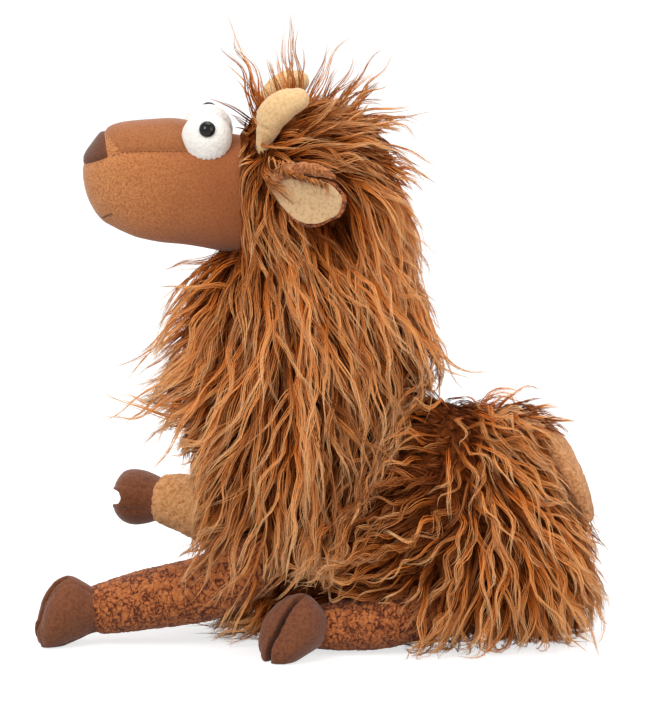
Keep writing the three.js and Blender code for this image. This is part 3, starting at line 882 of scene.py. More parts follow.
@dataclass
class Snout:
    """The suede snout: two cheeks that meet under the chin, a top panel and a nose patch."""

    stations: list = field(default_factory=lambda: [
        (-158.6, 0, 308.5, 0.5, 1.0), (-157.2, 0, 306.5, 9, 10), (-154.5, 0, 304, 14, 16),
        (-150, 0, 302.6, 19.5, 23.0), (-144, 0, 303.2, 23.5, 30.2), (-136, 0, 303.4, 26.5, 34.2),
        (-124, 0, 301.6, 29, 37.4), (-110, 0, 300.4, 30.6, 39.2), (-92, 0, 299.6, 32, 39.8),
        (-78, 0, 295.6, 33.4, 38.4), (-64, 0, 292.6, 34.4, 38.2), (-46, 0, 291, 36, 37.6),
        (-36, 0, 291, 34, 36)])
    seam_height: float = 324.0
    seam_dip: float = 4.5  # how far the seam drops to the nose corner
    dip_length: float = 7.0  # how soon it rises again behind the corner
    nose_corner: tuple[float, float] = (-141.5, 319.6)
    panel_back: float = -88.0
    groove: float = 0.9
    stitch: float = 3.4  # from one pucker of the seam to the next
    chin: float = 300.0  # the seam under the chin lies below this height
    thickness: float = 1.6
    beside: float = 60.0  # a place beside the snout, from where its skin is looked for

    def build(self, finishes: Finishes) -> None:
        """Makes the panels from one stuffed form, cut along the seams."""
        whole = StuffedForm("snout_cheeks", self.stations, domes=(0.01, 0.01), rings=92, segments=96,
                            facing=(1, 0, 0), square=2.15).build()
        press_out(whole, 1.4)
        points = points_of(whole)
        distance = np.minimum(self.side_seam(points), self.nose_seam(points))
        pucker = 0.5 + 0.5 * np.sin(points[:, 0] * 2 * np.pi / self.stitch + points[:, 1] * 1.3)
        dent = self.groove * np.exp(-(distance / 1.5) ** 2) + 0.35 * pucker * np.exp(-(distance / 3.2) ** 2)
        dent += 0.5 * np.exp(-(np.abs(points[:, 1]) / 1.6) ** 2) * (points[:, 2] < self.chin)
        swell = lumps(points, (26.0, 21, 0.7))
        put_points(whole, points + normals_of(whole) * (swell - dent)[:, None])
        self.nose(whole, finishes)
        self.top_panel(whole, finishes)
        self.mouth(whole, finishes)
        self.seam_thread(whole, finishes)
        finish_piece(whole, finishes.snout, "body", ("muzzle",))

    def dip(self, x: np.ndarray) -> np.ndarray:
        """Measures how far the top panel's seam lies below its height."""
        return self.seam_dip * np.exp(-np.maximum(x - self.nose_corner[0], 0) / self.dip_length)

    def side_seam(self, points: np.ndarray) -> np.ndarray:
        """Measures how far each point is from the seam of the top panel."""
        inside = (points[:, 0] > self.nose_corner[0]) & (points[:, 0] < self.panel_back)
        return np.where(inside, np.abs(points[:, 2] - self.seam_height + self.dip(points[:, 0])), 99.0)

    def nose_edges(self, points: np.ndarray) -> tuple[np.ndarray, np.ndarray]:
        """Measures how far each point is inside the nose patch's lower and back edges."""
        x, z = self.nose_corner
        low, back = NOSE_TILTS
        below = (points[:, 2] - z) * math.cos(low) - (points[:, 0] - x) * math.sin(low)
        behind = -(points[:, 0] - x) * math.cos(back) - (points[:, 2] - z) * math.sin(back)
        return below, behind

    def nose_seam(self, points: np.ndarray) -> np.ndarray:
        """Measures how far each point is from the nose patch's edge."""
        below, behind = self.nose_edges(points)
        return np.where((below > -4) & (behind > -4), np.abs(np.minimum(below, behind)), 99.0)

    def panel(self, whole: bpy.types.Object, name: str, planes: list) -> bpy.types.Object:
        """Cuts a panel of the cover from a copy of the form.

        Args:
            whole: the form.
            name: the panel's name.
            planes: for each edge, the X and Z of a point on it and of its outward direction.

        Returns:
            The open panel.
        """
        panel = whole.copy()
        panel.data = whole.data.copy()
        bpy.context.scene.collection.objects.link(panel)
        panel.name = panel.data.name = name
        select_only(panel)
        bpy.ops.object.mode_set(mode="EDIT")
        for (x, z), (out_x, out_z) in planes:
            bpy.ops.mesh.select_all(action="SELECT")
            bpy.ops.mesh.bisect(plane_co=Vector((x, 0, z)) * MM, plane_no=(out_x, 0, out_z), clear_outer=True,
                                clear_inner=False)
        bpy.ops.object.mode_set(mode="OBJECT")
        return panel

    def thicken(self, panel: bpy.types.Object, rim: np.ndarray, rise: float) -> None:
        """Raises a panel over its turned edge and gives it the cover's thickness."""
        lift = rise * (1 - np.exp(-np.maximum(rim, 0) / 1.1)) + 0.1
        put_points(panel, points_of(panel) + normals_of(panel) * lift[:, None])
        apply_modifier(panel, "cover", "SOLIDIFY", thickness=self.thickness * MM, offset=-1.0)
        smooth_faces(panel, 50)

    def nose(self, whole: bpy.types.Object, finishes: Finishes) -> None:
        """Sews on the dark nose patch."""
        low, back = NOSE_TILTS
        edges = [(self.nose_corner, (math.sin(low), -math.cos(low))),
                 (self.nose_corner, (math.cos(back), math.sin(back)))]
        patch = self.panel(whole, "nose_cover", edges)
        self.thicken(patch, np.minimum(*self.nose_edges(points_of(patch))), 0.9)
        finish_piece(patch, finishes.nose, "body", ("nose_patch",))

    def top_panel(self, whole: bpy.types.Object, finishes: Finishes) -> None:
        """Sews the top panel to the cheeks, from the nose patch to the eyes."""
        corner_x, _ = self.nose_corner
        back = NOSE_TILTS[1]
        edges = [((corner_x, self.seam_height), (0, -1)), ((self.panel_back, 0), (1, 0)),
                 (self.nose_corner, (-math.cos(back), -math.sin(back)))]
        panel = self.panel(whole, "snout_top_cover", edges)
        points = points_of(panel)
        over = points[:, 2] - self.seam_height
        rim = np.minimum(over, self.panel_back - points[:, 0])
        rim = np.minimum(rim, -self.nose_edges(points)[1])
        points[:, 2] -= self.dip(points[:, 0]) * np.exp(-over / 5)
        put_points(panel, points)
        self.thicken(panel, rim, 0.5)
        finish_piece(panel, finishes.snout_top, "body", ("bridge_panel",))

    def on_skin(self, tree: BVHTree, side: Side, x: float, z: float) -> np.ndarray | None:
        """Finds the skin at one side of the snout."""
        spot = tree.ray_cast(Vector((x, side.value * self.beside, z)), Vector((0, -side.value, 0)))[0]
        return None if spot is None else np.array(spot)

    def mouth(self, whole: bpy.types.Object, finishes: Finishes) -> None:
        """Sews a short stitched line at each corner of the mouth."""
        tree = tree_of([whole])
        for side in Side:
            line = []
            for part in np.linspace(0, 1, 7):
                x, z = -145.5 + 6.6 * part, 278.4 + 4.2 * part + 0.5 * math.sin(part * math.pi)
                line.append(self.on_skin(tree, side, x, z))
            piece = Thread(f"mouth_stitch_{side.word}", [np.array(line)], radius=0.55).build()
            finish_piece(piece, finishes.thread, "body")

    def seam_thread(self, whole: bpy.types.Object, finishes: Finishes) -> None:
        """Sews a row of small stitches along the top panel's seams."""
        tree = tree_of([whole])
        stitches = []
        for side in Side:
            for x in np.arange(self.nose_corner[0] + 3, self.panel_back - 5, 2.9):
                z = self.seam_height - float(self.dip(x))
                dash = [self.on_skin(tree, side, x + step, z) for step in np.linspace(0, 1.5, 3)]
                if all(spot is not None for spot in dash):
                    stitches.append(np.array(dash))
        piece = Thread("snout_seam_thread", stitches, radius=0.24).build()
        finish_piece(piece, finishes.thread, "body")


@dataclass
class Thread:
    """Sewing thread: small round tubes along given lines, closed at both ends."""

    name: str
    lines: list[np.ndarray]
    radius: float
    sides: int = 5

    def build(self) -> bpy.types.Object:
        """Skins every line in one mesh."""
        points, faces = [], []
        for line in self.lines:
            start, end = len(points), len(points) + (len(line) - 1) * self.sides
            ahead = unit(np.gradient(line, axis=0))
            side = unit(np.cross(ahead, np.array([0.31, 0.17, 0.93])))
            deep = np.cross(ahead, side)
            for at, s, d in zip(line, side, deep):
                for i in range(self.sides):
                    angle = 2 * math.pi * i / self.sides
                    points.append(at + (s * math.cos(angle) + d * math.sin(angle)) * self.radius)
            for ring in range(start, end, self.sides):
                for i in range(self.sides):
                    a, b = ring + i, ring + (i + 1) % self.sides
                    faces.append((a, b, b + self.sides, a + self.sides))
            faces.append(tuple(start + i for i in reversed(range(self.sides))))
            faces.append(tuple(end + i for i in range(self.sides)))
        mesh = bpy.data.meshes.new(self.name)
        mesh.from_pydata([tuple(p * MM) for p in points], [], faces)
        piece = bpy.data.objects.new(self.name, mesh)
        bpy.context.scene.collection.objects.link(piece)
        smooth_faces(piece, 60)
        return piece


# The eyes
@dataclass
class Eye:
    """A stuffed white fleece ball with a glossy safety eye, gathered on to the snout."""

    side: Side
    centre: tuple[float, float, float] = (-78.0, 16.1, 331.5)
    radius: float = 16.3
    bead_radius: float = 5.3
    bead_height: float = 4.2

    @property
    def look(self) -> np.ndarray:
        """The direction that the pupil faces."""
        rise = math.radians(30 if self.side is Side.LEFT else 42)
        return unit(np.array([0.04, self.side.value * math.cos(rise), math.sin(rise)]))

    def build(self, finishes: Finishes) -> None:
        """Makes the ball and the bead."""
        centre = np.array([self.centre[0], self.side.value * self.centre[1], self.centre[2]])
        self.ball(centre, finishes)
        self.bead(centre, finishes)
        washer = frame["nodes"][f"eye_washer_{self.side.word}"]
        washer.data.materials.clear()
        washer.data.materials.append(finishes.washer)

    def ball(self, centre: np.ndarray, finishes: Finishes) -> None:
        """Makes the ball, flat where the two meet and scalloped along its lower edge."""
        bpy.ops.object.select_all(action="DESELECT")
        bpy.ops.mesh.primitive_uv_sphere_add(segments=72, ring_count=48, radius=self.radius * MM)
        ball = bpy.context.object
        ball.name = ball.data.name = f"eyeball_cover_{self.side.word}"
        settle_faces(ball)
        points = points_of(ball)
        way = unit(points)
        turn = np.arctan2(way[:, 1], way[:, 0])
        low = np.exp(-((way[:, 2] + 0.66) / 0.16) ** 2)
        scallop = 0.5 + 0.5 * np.cos(turn * 22)
        grow = lumps(points, (3.0, 31 + self.side.value, 0.28), (9.0, 41, 0.3))
        grow += low * (1.1 - 1.0 * (1 - scallop))
        seat = way @ self.look
        grow -= 0.9 * np.exp(-((seat - 1) / 0.055) ** 2)
        points = points + way * grow[:, None] + centre
        inner = points[:, 1] * self.side.value
        pressed = 0.15 + 2.05 / (1 + np.exp(-(inner - 1.1) * 2.2))
        points[:, 1] = self.side.value * np.where(inner < 2.2, pressed, inner)
        put_points(ball, points)
        smooth_faces(ball)
        finish_piece(ball, finishes.eyeball, "body", (f"eyeball_{self.side.word}",))

    def bead(self, centre: np.ndarray, finishes: Finishes) -> None:
        """Makes the safety eye: a polished dome with a rounded rim on its ribbed shank."""
        bpy.ops.object.select_all(action="DESELECT")
        bpy.ops.mesh.primitive_cylinder_add(vertices=40, radius=self.bead_radius * MM, depth=0.7 * MM,
                                            end_fill_type="NGON")
        bead = bpy.context.object
        bead.name = bead.data.name = f"pupil_bead_{self.side.word}"
        self.raise_dome(bead)
        self.lower_shank(bead)
        look = Vector(self.look)
        turn = look.to_track_quat("Z", "Y").to_matrix()
        seat = centre + self.look * (self.radius - 0.35)
        put_points(bead, points_of(bead) @ np.array(turn).T + seat)
        smooth_faces(bead, 40)
        finish_piece(bead, finishes.bead, "body", (f"pupil_{self.side.word}",))

    def raise_dome(self, bead: bpy.types.Object) -> None:
        """Insets and lifts the top face in rings that follow a dome."""
        self.pick_end(bead, 1)
        steps = 7
        radius, height = self.bead_radius, 0.0
        for i in range(1, steps + 1):
            angle = i / (steps + 0.6) * math.pi / 2
            new_radius, new_height = self.bead_radius * math.cos(angle), self.bead_height * math.sin(angle)
            bpy.ops.mesh.inset(thickness=(radius - new_radius) * MM, depth=0)
            bpy.ops.transform.translate(value=(0, 0, (new_height - height) * MM))
            radius, height = new_radius, new_height
        bpy.ops.object.mode_set(mode="OBJECT")

    def lower_shank(self, bead: bpy.types.Object) -> None:
        """Draws the ribbed shank down from the underside."""
        self.pick_end(bead, -1)
        bpy.ops.mesh.inset(thickness=(self.bead_radius - 1.7) * MM, depth=0)
        for rib in range(3):
            bpy.ops.mesh.extrude_region_move(TRANSFORM_OT_translate={"value": (0, 0, -1.7 * MM)})
            bpy.ops.mesh.inset(thickness=0.35 * MM, depth=0)
            bpy.ops.mesh.extrude_region_move(TRANSFORM_OT_translate={"value": (0, 0, -1.5 * MM)})
            bpy.ops.transform.resize(value=(1.26, 1.26, 1), center_override=(0, 0, 0))
        bpy.ops.object.mode_set(mode="OBJECT")

    def pick_end(self, bead: bpy.types.Object, way: int) -> None:
        """Selects the cylinder's top or bottom face, in edit mode."""
        select_only(bead)
        bpy.ops.object.mode_set(mode="EDIT")
        bpy.ops.mesh.select_mode(type="FACE")
        bpy.ops.mesh.select_all(action="DESELECT")
        bpy.ops.object.mode_set(mode="OBJECT")
        ends = [p for p in bead.data.polygons if p.normal.z * way > 0.9]
        best = max(ends, key=lambda p: p.center.z * way)
        best.select = True
        bpy.ops.object.mode_set(mode="EDIT")


# Horns and ears
@dataclass
class Horn:
    """A short stuffed velour horn that leans back from a narrow root."""

    side: Side
    stations: list = field(default_factory=lambda: [
        (-42, 26, 324, 4.5, 4.5), (-41, 27, 331, 5.2, 5.2), (-38.5, 29, 339.5, 8.4, 7.6),
        (-35.5, 31, 348.5, 10.4, 9.9), (-28, 33, 356, 10.2, 10), (-19.5, 34, 359.5, 7.6, 7.6)])

    def build(self, finishes: Finishes) -> None:
        """Makes the horn with a pinch at its root."""
        rows = [(x, y * self.side.value, z, w, d) for x, y, z, w, d in self.stations]
        horn = StuffedForm(f"horn_cover_{self.side.word}", rows, rings=48, segments=40).build()
        points = points_of(horn)
        lift = lumps(points, (7.0, 51 + self.side.value, 0.5), (2.6, 61, 0.22))
        fold = np.exp(-((points[:, 2] - 341 + 0.35 * (points[:, 0] + 40)) / 1.6) ** 2) * (points[:, 0] < -38)
        put_points(horn, points + normals_of(horn) * (lift - 0.9 * fold)[:, None])
        finish_piece(horn, finishes.horn, "body", (f"horn_{self.side.word}",))


@dataclass
class Ear:
    """A cupped ear: a rust pile back that rolls over the top of a cream lining."""

    side: Side
    root: tuple[float, float, float] = (-36.0, 50.0, 306.0)
    # Steps from the root, backwards, outwards and up, each with half the leaf's width there
    outline: tuple = ((3, 3, 1, 6), (14, 12, -1, 15), (26, 20, -3, 18.5), (37, 27, -4.5, 15.5),
                      (44, 31, -6, 8.5))
    roll: tuple = ((-35, 57, 308, 2.6), (-31, 61, 315, 3.8), (-19, 72, 321, 4.4), (-7, 80, 322, 3.8),
                   (3, 85, 319, 1.8))

    def leaf(self, name: str, thick: float, lift: float, shrink: float) -> bpy.types.Object:
        """Makes one cupped leaf.

        Args:
            name: the new piece's name.
            thick: half its thickness in millimetres.
            lift: how far it lies towards the front of the hollow.
            shrink: how much smaller it is than the ear's outline.

        Returns:
            The leaf.
        """
        x, y, z = self.root
        s = self.side.value
        rows = [(x + ahead, s * (y + out), z + up, wide * shrink, thick)
                for ahead, out, up, wide in self.outline]
        piece = StuffedForm(name, rows, domes=(1, 1.6), rings=44, segments=48, sideways=(0, 0, 1)).build()
        points = points_of(piece)
        rise = points[:, 2] - (z - 3)
        cup = 0.017 * rise ** 2
        roll = np.maximum(rise - 9, 0) ** 2 * 0.05
        out = unit(np.cross(self.ahead(), UP)) * -s
        out = out if out[1] * s > 0 else -out
        points = points + out * (cup + roll + lift)[:, None]
        points[:, 2] -= roll * 0.9
        uneven = lumps(points, (8.0, 71 + s, 0.5), (2.8, 81, 0.25))
        put_points(piece, points)
        put_points(piece, points_of(piece) + normals_of(piece) * uneven[:, None])
        return piece

    def ahead(self) -> np.ndarray:
        """The direction from the ear's root to its tip."""
        return unit(np.array([0.8, self.side.value * 0.6, -0.1]))

    def build(self, finishes: Finishes) -> None:
        """Makes the back and the lining."""
        word = self.side.word
        back = self.leaf(f"ear_back_{word}", 2.4, 0.0, 1.0)
        mark(back, "pile", 0.5 + 0.5 * relief(points_of(back), 2.4, 91))
        finish_piece(back, finishes.leg, f"{word}_ear", (f"ear_{word}",))
        rows = [(x, y * self.side.value, z, r, r) for x, y, z, r in self.roll]
        roll = StuffedForm(f"ear_roll_{word}", rows, domes=(1.0, 1.4), rings=40, segments=32).build()
        uneven = relief(points_of(roll), 4.0, 93)
        put_points(roll, points_of(roll) + normals_of(roll) * uneven[:, None] * 1.5)
        mark(roll, "pile", 0.5 + 0.5 * uneven)
        finish_piece(roll, finishes.russet, f"{word}_ear", (f"ear_{word}",))
        lining = self.leaf(f"ear_lining_cover_{word}", 1.5, 2.6, 0.86)
        finish_piece(lining, finishes.lining, f"{word}_ear", (f"ear_lining_{word}",))


# Legs, hooves and tail
@dataclass
class Hoof:
    """A stuffed suede hoof in two toes, sewn to the end of a leg."""

    name: str
    ankle: tuple[float, float, float]
    direction: tuple[float, float, float]
    sideways: tuple[float, float, float]
    length: float = 38.5
    half_width: float = 18.8
    cleft: float = 6.4
    cleft_depth: float = 15.0
    floor: float | None = 0.2
    # Along the hoof: how far from the ankle, its share of the width, half its height and its rise
    profile: tuple = (
        (-1.5, 0.66, 13.6, 0.0), (4, 0.74, 15.5, -0.2), (10, 0.86, 18.6, -0.4), (17, 0.96, 22.0, -0.5),
        (23, 1.0, 23.6, 0.9), (30, 0.96, 22.2, 4.6), (35.2, 0.8, 17.0, 9.6), (38.4, 0.45, 7.5, 13.6))

    def build(self, finishes: Finishes, body: str, node: str) -> None:
        """Makes the hoof, its cleft and the seams of its panels.

        Args:
            finishes: the materials.
            body: the body that it rides on.
            node: the CAD node that it stands for.
        """
        ankle = np.array(self.ankle)
        ahead = unit(np.array(self.direction))
        side = np.array(self.sideways, float)
        across = unit(side - (side @ ahead) * ahead)
        tall = np.cross(ahead, across)
        rows = [(*(ankle + ahead * d + tall * shift), wide * self.half_width, high)
                for d, wide, high, shift in self.profile]
        hoof = StuffedForm(self.name, rows, domes=(0.2, 0.28), rings=40, segments=40, sideways=tuple(across),
                           facing=tuple(ahead), square=1.9).build()
        self.cut_cleft(hoof, ankle, ahead, across, tall)
        points = points_of(hoof)
        local = points - ankle
        d, w, h = local @ ahead, local @ across, local @ tall
        seam = np.abs(np.abs(w) - (0.32 + 0.16 * np.abs(h) / 24) * self.half_width)
        near = np.exp(-(seam / 1.1) ** 2) * (d > 3)
        dent = 0.9 * near * (0.75 + 0.25 * np.sin(h * 2.1))
        swell = lumps(points, (14.0, 101, 0.6), (3.0, 103, 0.12))
        points = points + normals_of(hoof) * (swell - dent)[:, None]
        if self.floor is not None:
            points[:, 2] = np.maximum(points[:, 2], self.floor)
        put_points(hoof, points)
        smooth_faces(hoof)
        finish_piece(hoof, finishes.hoof, body, (node,))

    def cut_cleft(self, hoof: bpy.types.Object, ankle: np.ndarray, ahead: np.ndarray, across: np.ndarray,
                  tall: np.ndarray) -> None:
        """Cuts a slot with a round end through the hoof, then eases its edges."""
        bpy.ops.object.select_all(action="DESELECT")
        bpy.ops.mesh.primitive_cylinder_add(vertices=24, radius=self.cleft / 2 * 1.15 * MM, depth=90 * MM)
        slot = bpy.context.object
        points = points_of(slot)
        far = points[:, 0] > 0.1
        points[far, 0] += 30
        points[far, 1] *= 1.25
        turn = np.array([ahead, across, tall])
        root = ankle + ahead * (self.length - self.cleft_depth)
        put_points(slot, points @ turn + root)
        turn_outwards(slot)
        apply_modifier(hoof, "cleft", "BOOLEAN", object=slot, operation="DIFFERENCE", solver="EXACT")
        bpy.data.objects.remove(slot)
        apply_modifier(hoof, "skin", "REMESH", mode="VOXEL", voxel_size=1.25 * MM, adaptivity=0.0)
        apply_modifier(hoof, "ease", "SMOOTH", factor=0.5, iterations=7)


@dataclass
class Leg:
    """A short-pile leg: a stuffed tube from the ball in its seam to the hoof."""

    name: str
    root: tuple[float, float, float]
    spine: list[tuple[float, float, float]]
    radii: tuple[float, ...]
    hoof_direction: tuple[float, float, float]
    hoof_sideways: tuple[float, float, float]
    body: str
    grounded: bool = True
    cleft: float = 6.4

    def build(self, finishes: Finishes) -> None:
        """Makes the leg and its hoof."""
        path = [self.root, *self.spine]
        rows = [(*p, r, r) for p, r in zip(path, self.radii)]
        leg = StuffedForm(f"{self.name}_cover", rows, domes=(1.0, 0.35), rings=110, segments=84,
                          sideways=self.hoof_sideways).build()
        press_out(leg, 1.6)
        points = points_of(leg)
        pile = self.crushed(points)
        points = points + normals_of(leg) * (pile * 1.1 - 0.7)[:, None]
        if self.grounded:
            points[:, 2] = np.maximum(points[:, 2], 0.3 + 0.2 * pile)
        put_points(leg, points)
        mark(leg, "pile", pile)
        # The held-up leg takes the lighter copy of the leg pile: painted light on it.
        finish = finishes.leg if self.grounded else finishes.tan
        finish_piece(leg, finish, self.body, (self.name,))
        node = self.name.replace("leg", "hoof")
        Hoof(f"{node}_cover", self.spine[-1], self.hoof_direction, self.hoof_sideways, cleft=self.cleft,
             floor=0.2 if self.grounded else None).build(finishes, self.body, node)

    @staticmethod
    def crushed(points: np.ndarray) -> np.ndarray:
        """Draws the pile's crests and creases: winding ridges a few millimetres apart.

        Args:
            points: rows of places in millimetres.

        Returns:
            0 in a crease to 1 on a crest.
        """
        warp = np.stack([cell_noise(points / 5.0, 111 + i) for i in range(3)], axis=1) * 1.8
        ridges = 1 - np.abs(cell_noise((points + warp) / np.array([3.4, 2.6, 2.2]), 121)) * 2.6
        fine = cell_noise(points / 1.6, 131) * 0.3
        return np.clip(0.85 - np.clip(ridges, 0, 1) * 0.6 + fine, 0, 1)


@dataclass
class Tail:
    """The short-pile tail that lies down the rump."""

    root: tuple[float, float] = (102.0, 142.0)

    def build(self, finishes: Finishes) -> bpy.types.Object:
        """Makes and dresses the tail."""
        x, z = self.root
        rows = [(x + 4, 0, z, 9, 7), (x + 24, 0, z - 2, 19, 9), (x + 44, 0, z - 17, 22, 9.5),
                (x + 57, 0, z - 42, 20, 9), (x + 65, 0, z - 63, 12, 7)]
        tail = StuffedForm("tail_cover", rows, rings=90, segments=72).build()
        press_out(tail, 1.5)
        points = points_of(tail)
        pile = Leg.crushed(points * np.array([1.0, 1.0, 0.8]))
        put_points(tail, points + normals_of(tail) * (pile * 1.1 - 0.7)[:, None])
        mark(tail, "pile", pile)
        return finish_piece(tail, finishes.tail, "tail", ("tail",))


# The long coat
@dataclass(frozen=True)
class Comb:
    """How the coat is brushed at one place, seen from the animal's left.

    The angle is in degrees: 0 is straight back, 90 up, 180 forwards and 270 down. The length
    is a lock's, in millimetres.
    """

    x: float
    z: float
    angle: float
    length: float


COMBING = (
    Comb(-49, 322, 261, 30), Comb(-44, 340, 16, 25), Comb(-23, 338, 6, 42), Comb(-5, 346, 19, 45),
    Comb(9, 355, 27, 50), Comb(31, 362, 17, 50), Comb(24, 330, 343, 50), Comb(39, 307, 321, 50),
    Comb(20, 288, 287, 60), Comb(47, 272, 300, 60), Comb(-36, 298, 283, 45),
    Comb(-43, 276, 294, 80), Comb(-20, 272, 288, 60), Comb(-20, 250, 290, 80),
    Comb(24, 254, 288, 80), Comb(57, 232, 300, 60), Comb(-67, 253, 259, 70),
    Comb(-83, 255, 240, 60), Comb(-96, 232, 227, 55), Comb(-64, 212, 261, 80),
    Comb(-18, 205, 279, 85), Comb(27, 219, 288, 70), Comb(57, 199, 297, 50),
    Comb(-103, 182, 198, 55), Comb(-106, 159, 192, 50), Comb(-64, 165, 238, 70),
    Comb(-18, 165, 273, 85), Comb(14, 172, 279, 50), Comb(-86, 129, 215, 50),
    Comb(-47, 119, 255, 75), Comb(-18, 112, 273, 75), Comb(-80, 82, 237, 60),
    Comb(-57, 59, 246, 60), Comb(-25, 66, 267, 60), Comb(-21, 36, 207, 45), Comb(1, 92, 273, 60),
    Comb(11, 132, 279, 42), Comb(40, 146, 252, 50), Comb(66, 165, 183, 50), Comb(66, 141, 195, 45),
    Comb(60, 112, 190, 48), Comb(27, 90, 225, 52), Comb(47, 79, 205, 50), Comb(73, 86, 208, 50),
    Comb(14, 46, 185, 45), Comb(42, 50, 190, 48), Comb(66, 28, 240, 50), Comb(83, 64, 249, 60),
    Comb(99, 72, 267, 65), Comb(116, 64, 279, 70), Comb(138, 72, 288, 75), Comb(157, 64, 297, 70),
    Comb(170, 59, 307, 60), Comb(116, 112, 303, 65), Comb(133, 99, 307, 70),
    Comb(116, 148, 313, 60), Comb(129, 159, 336, 55), Comb(146, 139, 319, 60),
    Comb(157, 119, 315, 55), Comb(92, 175, 16, 60), Comb(112, 172, 3, 55), Comb(92, 24, 258, 50),
    Comb(129, 19, 276, 50), Comb(159, 24, 291, 50),
    Comb(88, 150, 290, 38), Comb(92, 128, 262, 40), Comb(95, 104, 280, 40), Comb(94, 84, 255, 45),
    Comb(-50, 306, 285, 60), Comb(-8, 330, 352, 40),
)


@dataclass(frozen=True)
class Tone:
    """How golden the coat is at one place seen from the left, from 0 for rust to 1."""

    x: float
    z: float
    gold: float


TONES = (
    Tone(-51, 303, 0.2), Tone(-40, 345, 0.3), Tone(14, 336, 0.3), Tone(14, 300, 0.2), Tone(47, 269, 1.2),
    Tone(60, 236, 1.1), Tone(-18, 262, 0.55), Tone(-64, 236, 0.42), Tone(-90, 240, 0.8), Tone(-83, 170, 1.2),
    Tone(-18, 190, 0.8), Tone(20, 165, 0.3), Tone(-64, 117, 0.5), Tone(-18, 118, 0.7), Tone(27, 112, 0.1),
    Tone(66, 143, 0.42), Tone(44, 88, 0.18), Tone(73, 63, 0.38), Tone(86, 120, 0.2), Tone(125, 136, 0.5),
    Tone(157, 103, 0.8), Tone(112, 50, 0.75), Tone(164, 37, 0.9), Tone(47, 40, 0.5), Tone(-70, 60, 0.55),
    Tone(1, 60, 0.45),
)

# The outline that the coat is trimmed to, seen from the left and 12 degrees above
TRIM_LINE = (
    (-98, 254), (-113, 215), (-110, 202), (-116, 189), (-104, 172), (-124, 151), (-98, 127), (-88, 96),
    (-87, 80), (-107, 58), (-94, 33), (-90, -10), (14, -12), (73, -20), (125, -11), (166, -10), (181, 18),
    (174, 47), (174, 86), (159, 125), (138, 150), (99, 170), (72, 187), (66, 216), (57, 236), (60, 255),
    (52, 275), (31, 307), (36, 320), (27, 333), (11, 346), (-18, 350), (-43, 340), (-57, 314), (-57, 258),
)


@dataclass(frozen=True)
class Clearing:
    """A place that shows through the coat: locks are trimmed where they reach it.

    It is round with a radius, or else a box. It holds where |Y| is past `past`.
    """

    x: tuple[float, float]
    z: tuple[float, float]
    past: float = 0.0
    round: bool = False
    sides: tuple[int, ...] = (-1, 1)

    def holds(self, points: np.ndarray) -> np.ndarray:
        """Tells which points are in it."""
        x, y, z = points[..., 0], points[..., 1], points[..., 2]
        if self.round:
            half = [(self.x[1] - self.x[0]) / 2, (self.z[1] - self.z[0]) / 2]
            inside = ((x - self.x[0]) / half[0] - 1) ** 2 + ((z - self.z[0]) / half[1] - 1) ** 2 < 1
        else:
            inside = (x > self.x[0]) & (x < self.x[1]) & (z > self.z[0]) & (z < self.z[1])
        right = np.isin(np.where(y < 0, -1, 1), self.sides)
        return inside & (np.abs(y) > self.past) & right
# Where the photograph shows something else through the coat, or in front of it
CLEARINGS = (
    Clearing((-21, 11), (281, 314), past=40, round=True),  # the ears' linings
    Clearing((-46, -20), (339, 370), past=14, round=True),  # the horns
    Clearing((-200, -57), (258, 400)),  # the snout and the eyes
    Clearing((148, 176), (102, 134), round=True),  # the tail's middle
    Clearing((156, 184), (76, 112), round=True),  # the tail's end
    Clearing((-46, -6), (-5, 50), past=45),  # the hind hooves
    Clearing((-6, 47), (-5, 37), past=45),  # the hind legs
    Clearing((-200, -98), (-5, 62), sides=(-1,)),  # the left front leg
    Clearing((-98, -78), (-5, 28), sides=(-1,)),  # under it
    Clearing((-200, -90), (60, 112)),  # the hoof that is held up
)


@dataclass(frozen=True)
class Layer:
    """One of the coat's layers. Widths and heights are in millimetres."""

    word: str
    seed: int  # added to a patch's own
    share: float  # of a patch's locks
    strands: int
    segments: int
    lock_width: float
    stand: float  # how much a lock stands off the skin at its root
    height: float  # the highest that it lies over the skin
    spread: float  # how far its locks stray from the combing
    gold: float
    wave: float
    length: float
    stray: float  # the share of strands that leave their lock


# The fuzz and the underfur are made darker than the topcoat by their gold: painted shade of the coat's depth
# between the locks.
FUZZ = Layer("fuzz", 100, 1.2, 8, 3, 6.0, 0.9, 3.0, 0.4, -0.6, 0.4, 0.24, 0.1)
UNDERFUR = Layer("under", 0, 1.0, 11, 6, 4.6, 0.6, 6.0, 0.24, -0.42, 0.9, 0.85, 0.04)
TOPCOAT = Layer("top", 50, 1.3, 9, 10, 2.0, 0.95, 16.0, 0.32, 0.26, 1.5, 1.3, 0.14)
TUFT = Layer("tuft", 0, 1.0, 6, 12, 1.9, 0.95, 14.0, 0.27, 0.2, 1.4, 1.3, 0.12)


@dataclass(frozen=True)
class Region:
    """One patch of the coat, between the places `low` and `high`."""

    name: str
    cover: str
    locks: int
    seed: int = 0
    wave: float = 2.0  # how far its locks swing to each side, in millimetres
    curl: float = 44.0  # the length of one such wave, in millimetres
    low: tuple[float, float, float] = (-300, -300, -300)
    high: tuple[float, float, float] = (300, 300, 500)
    body: str = "body"


@dataclass
class Locks:
    """The middle lines of some locks, with the outward direction along them."""

    line: np.ndarray
    out: np.ndarray


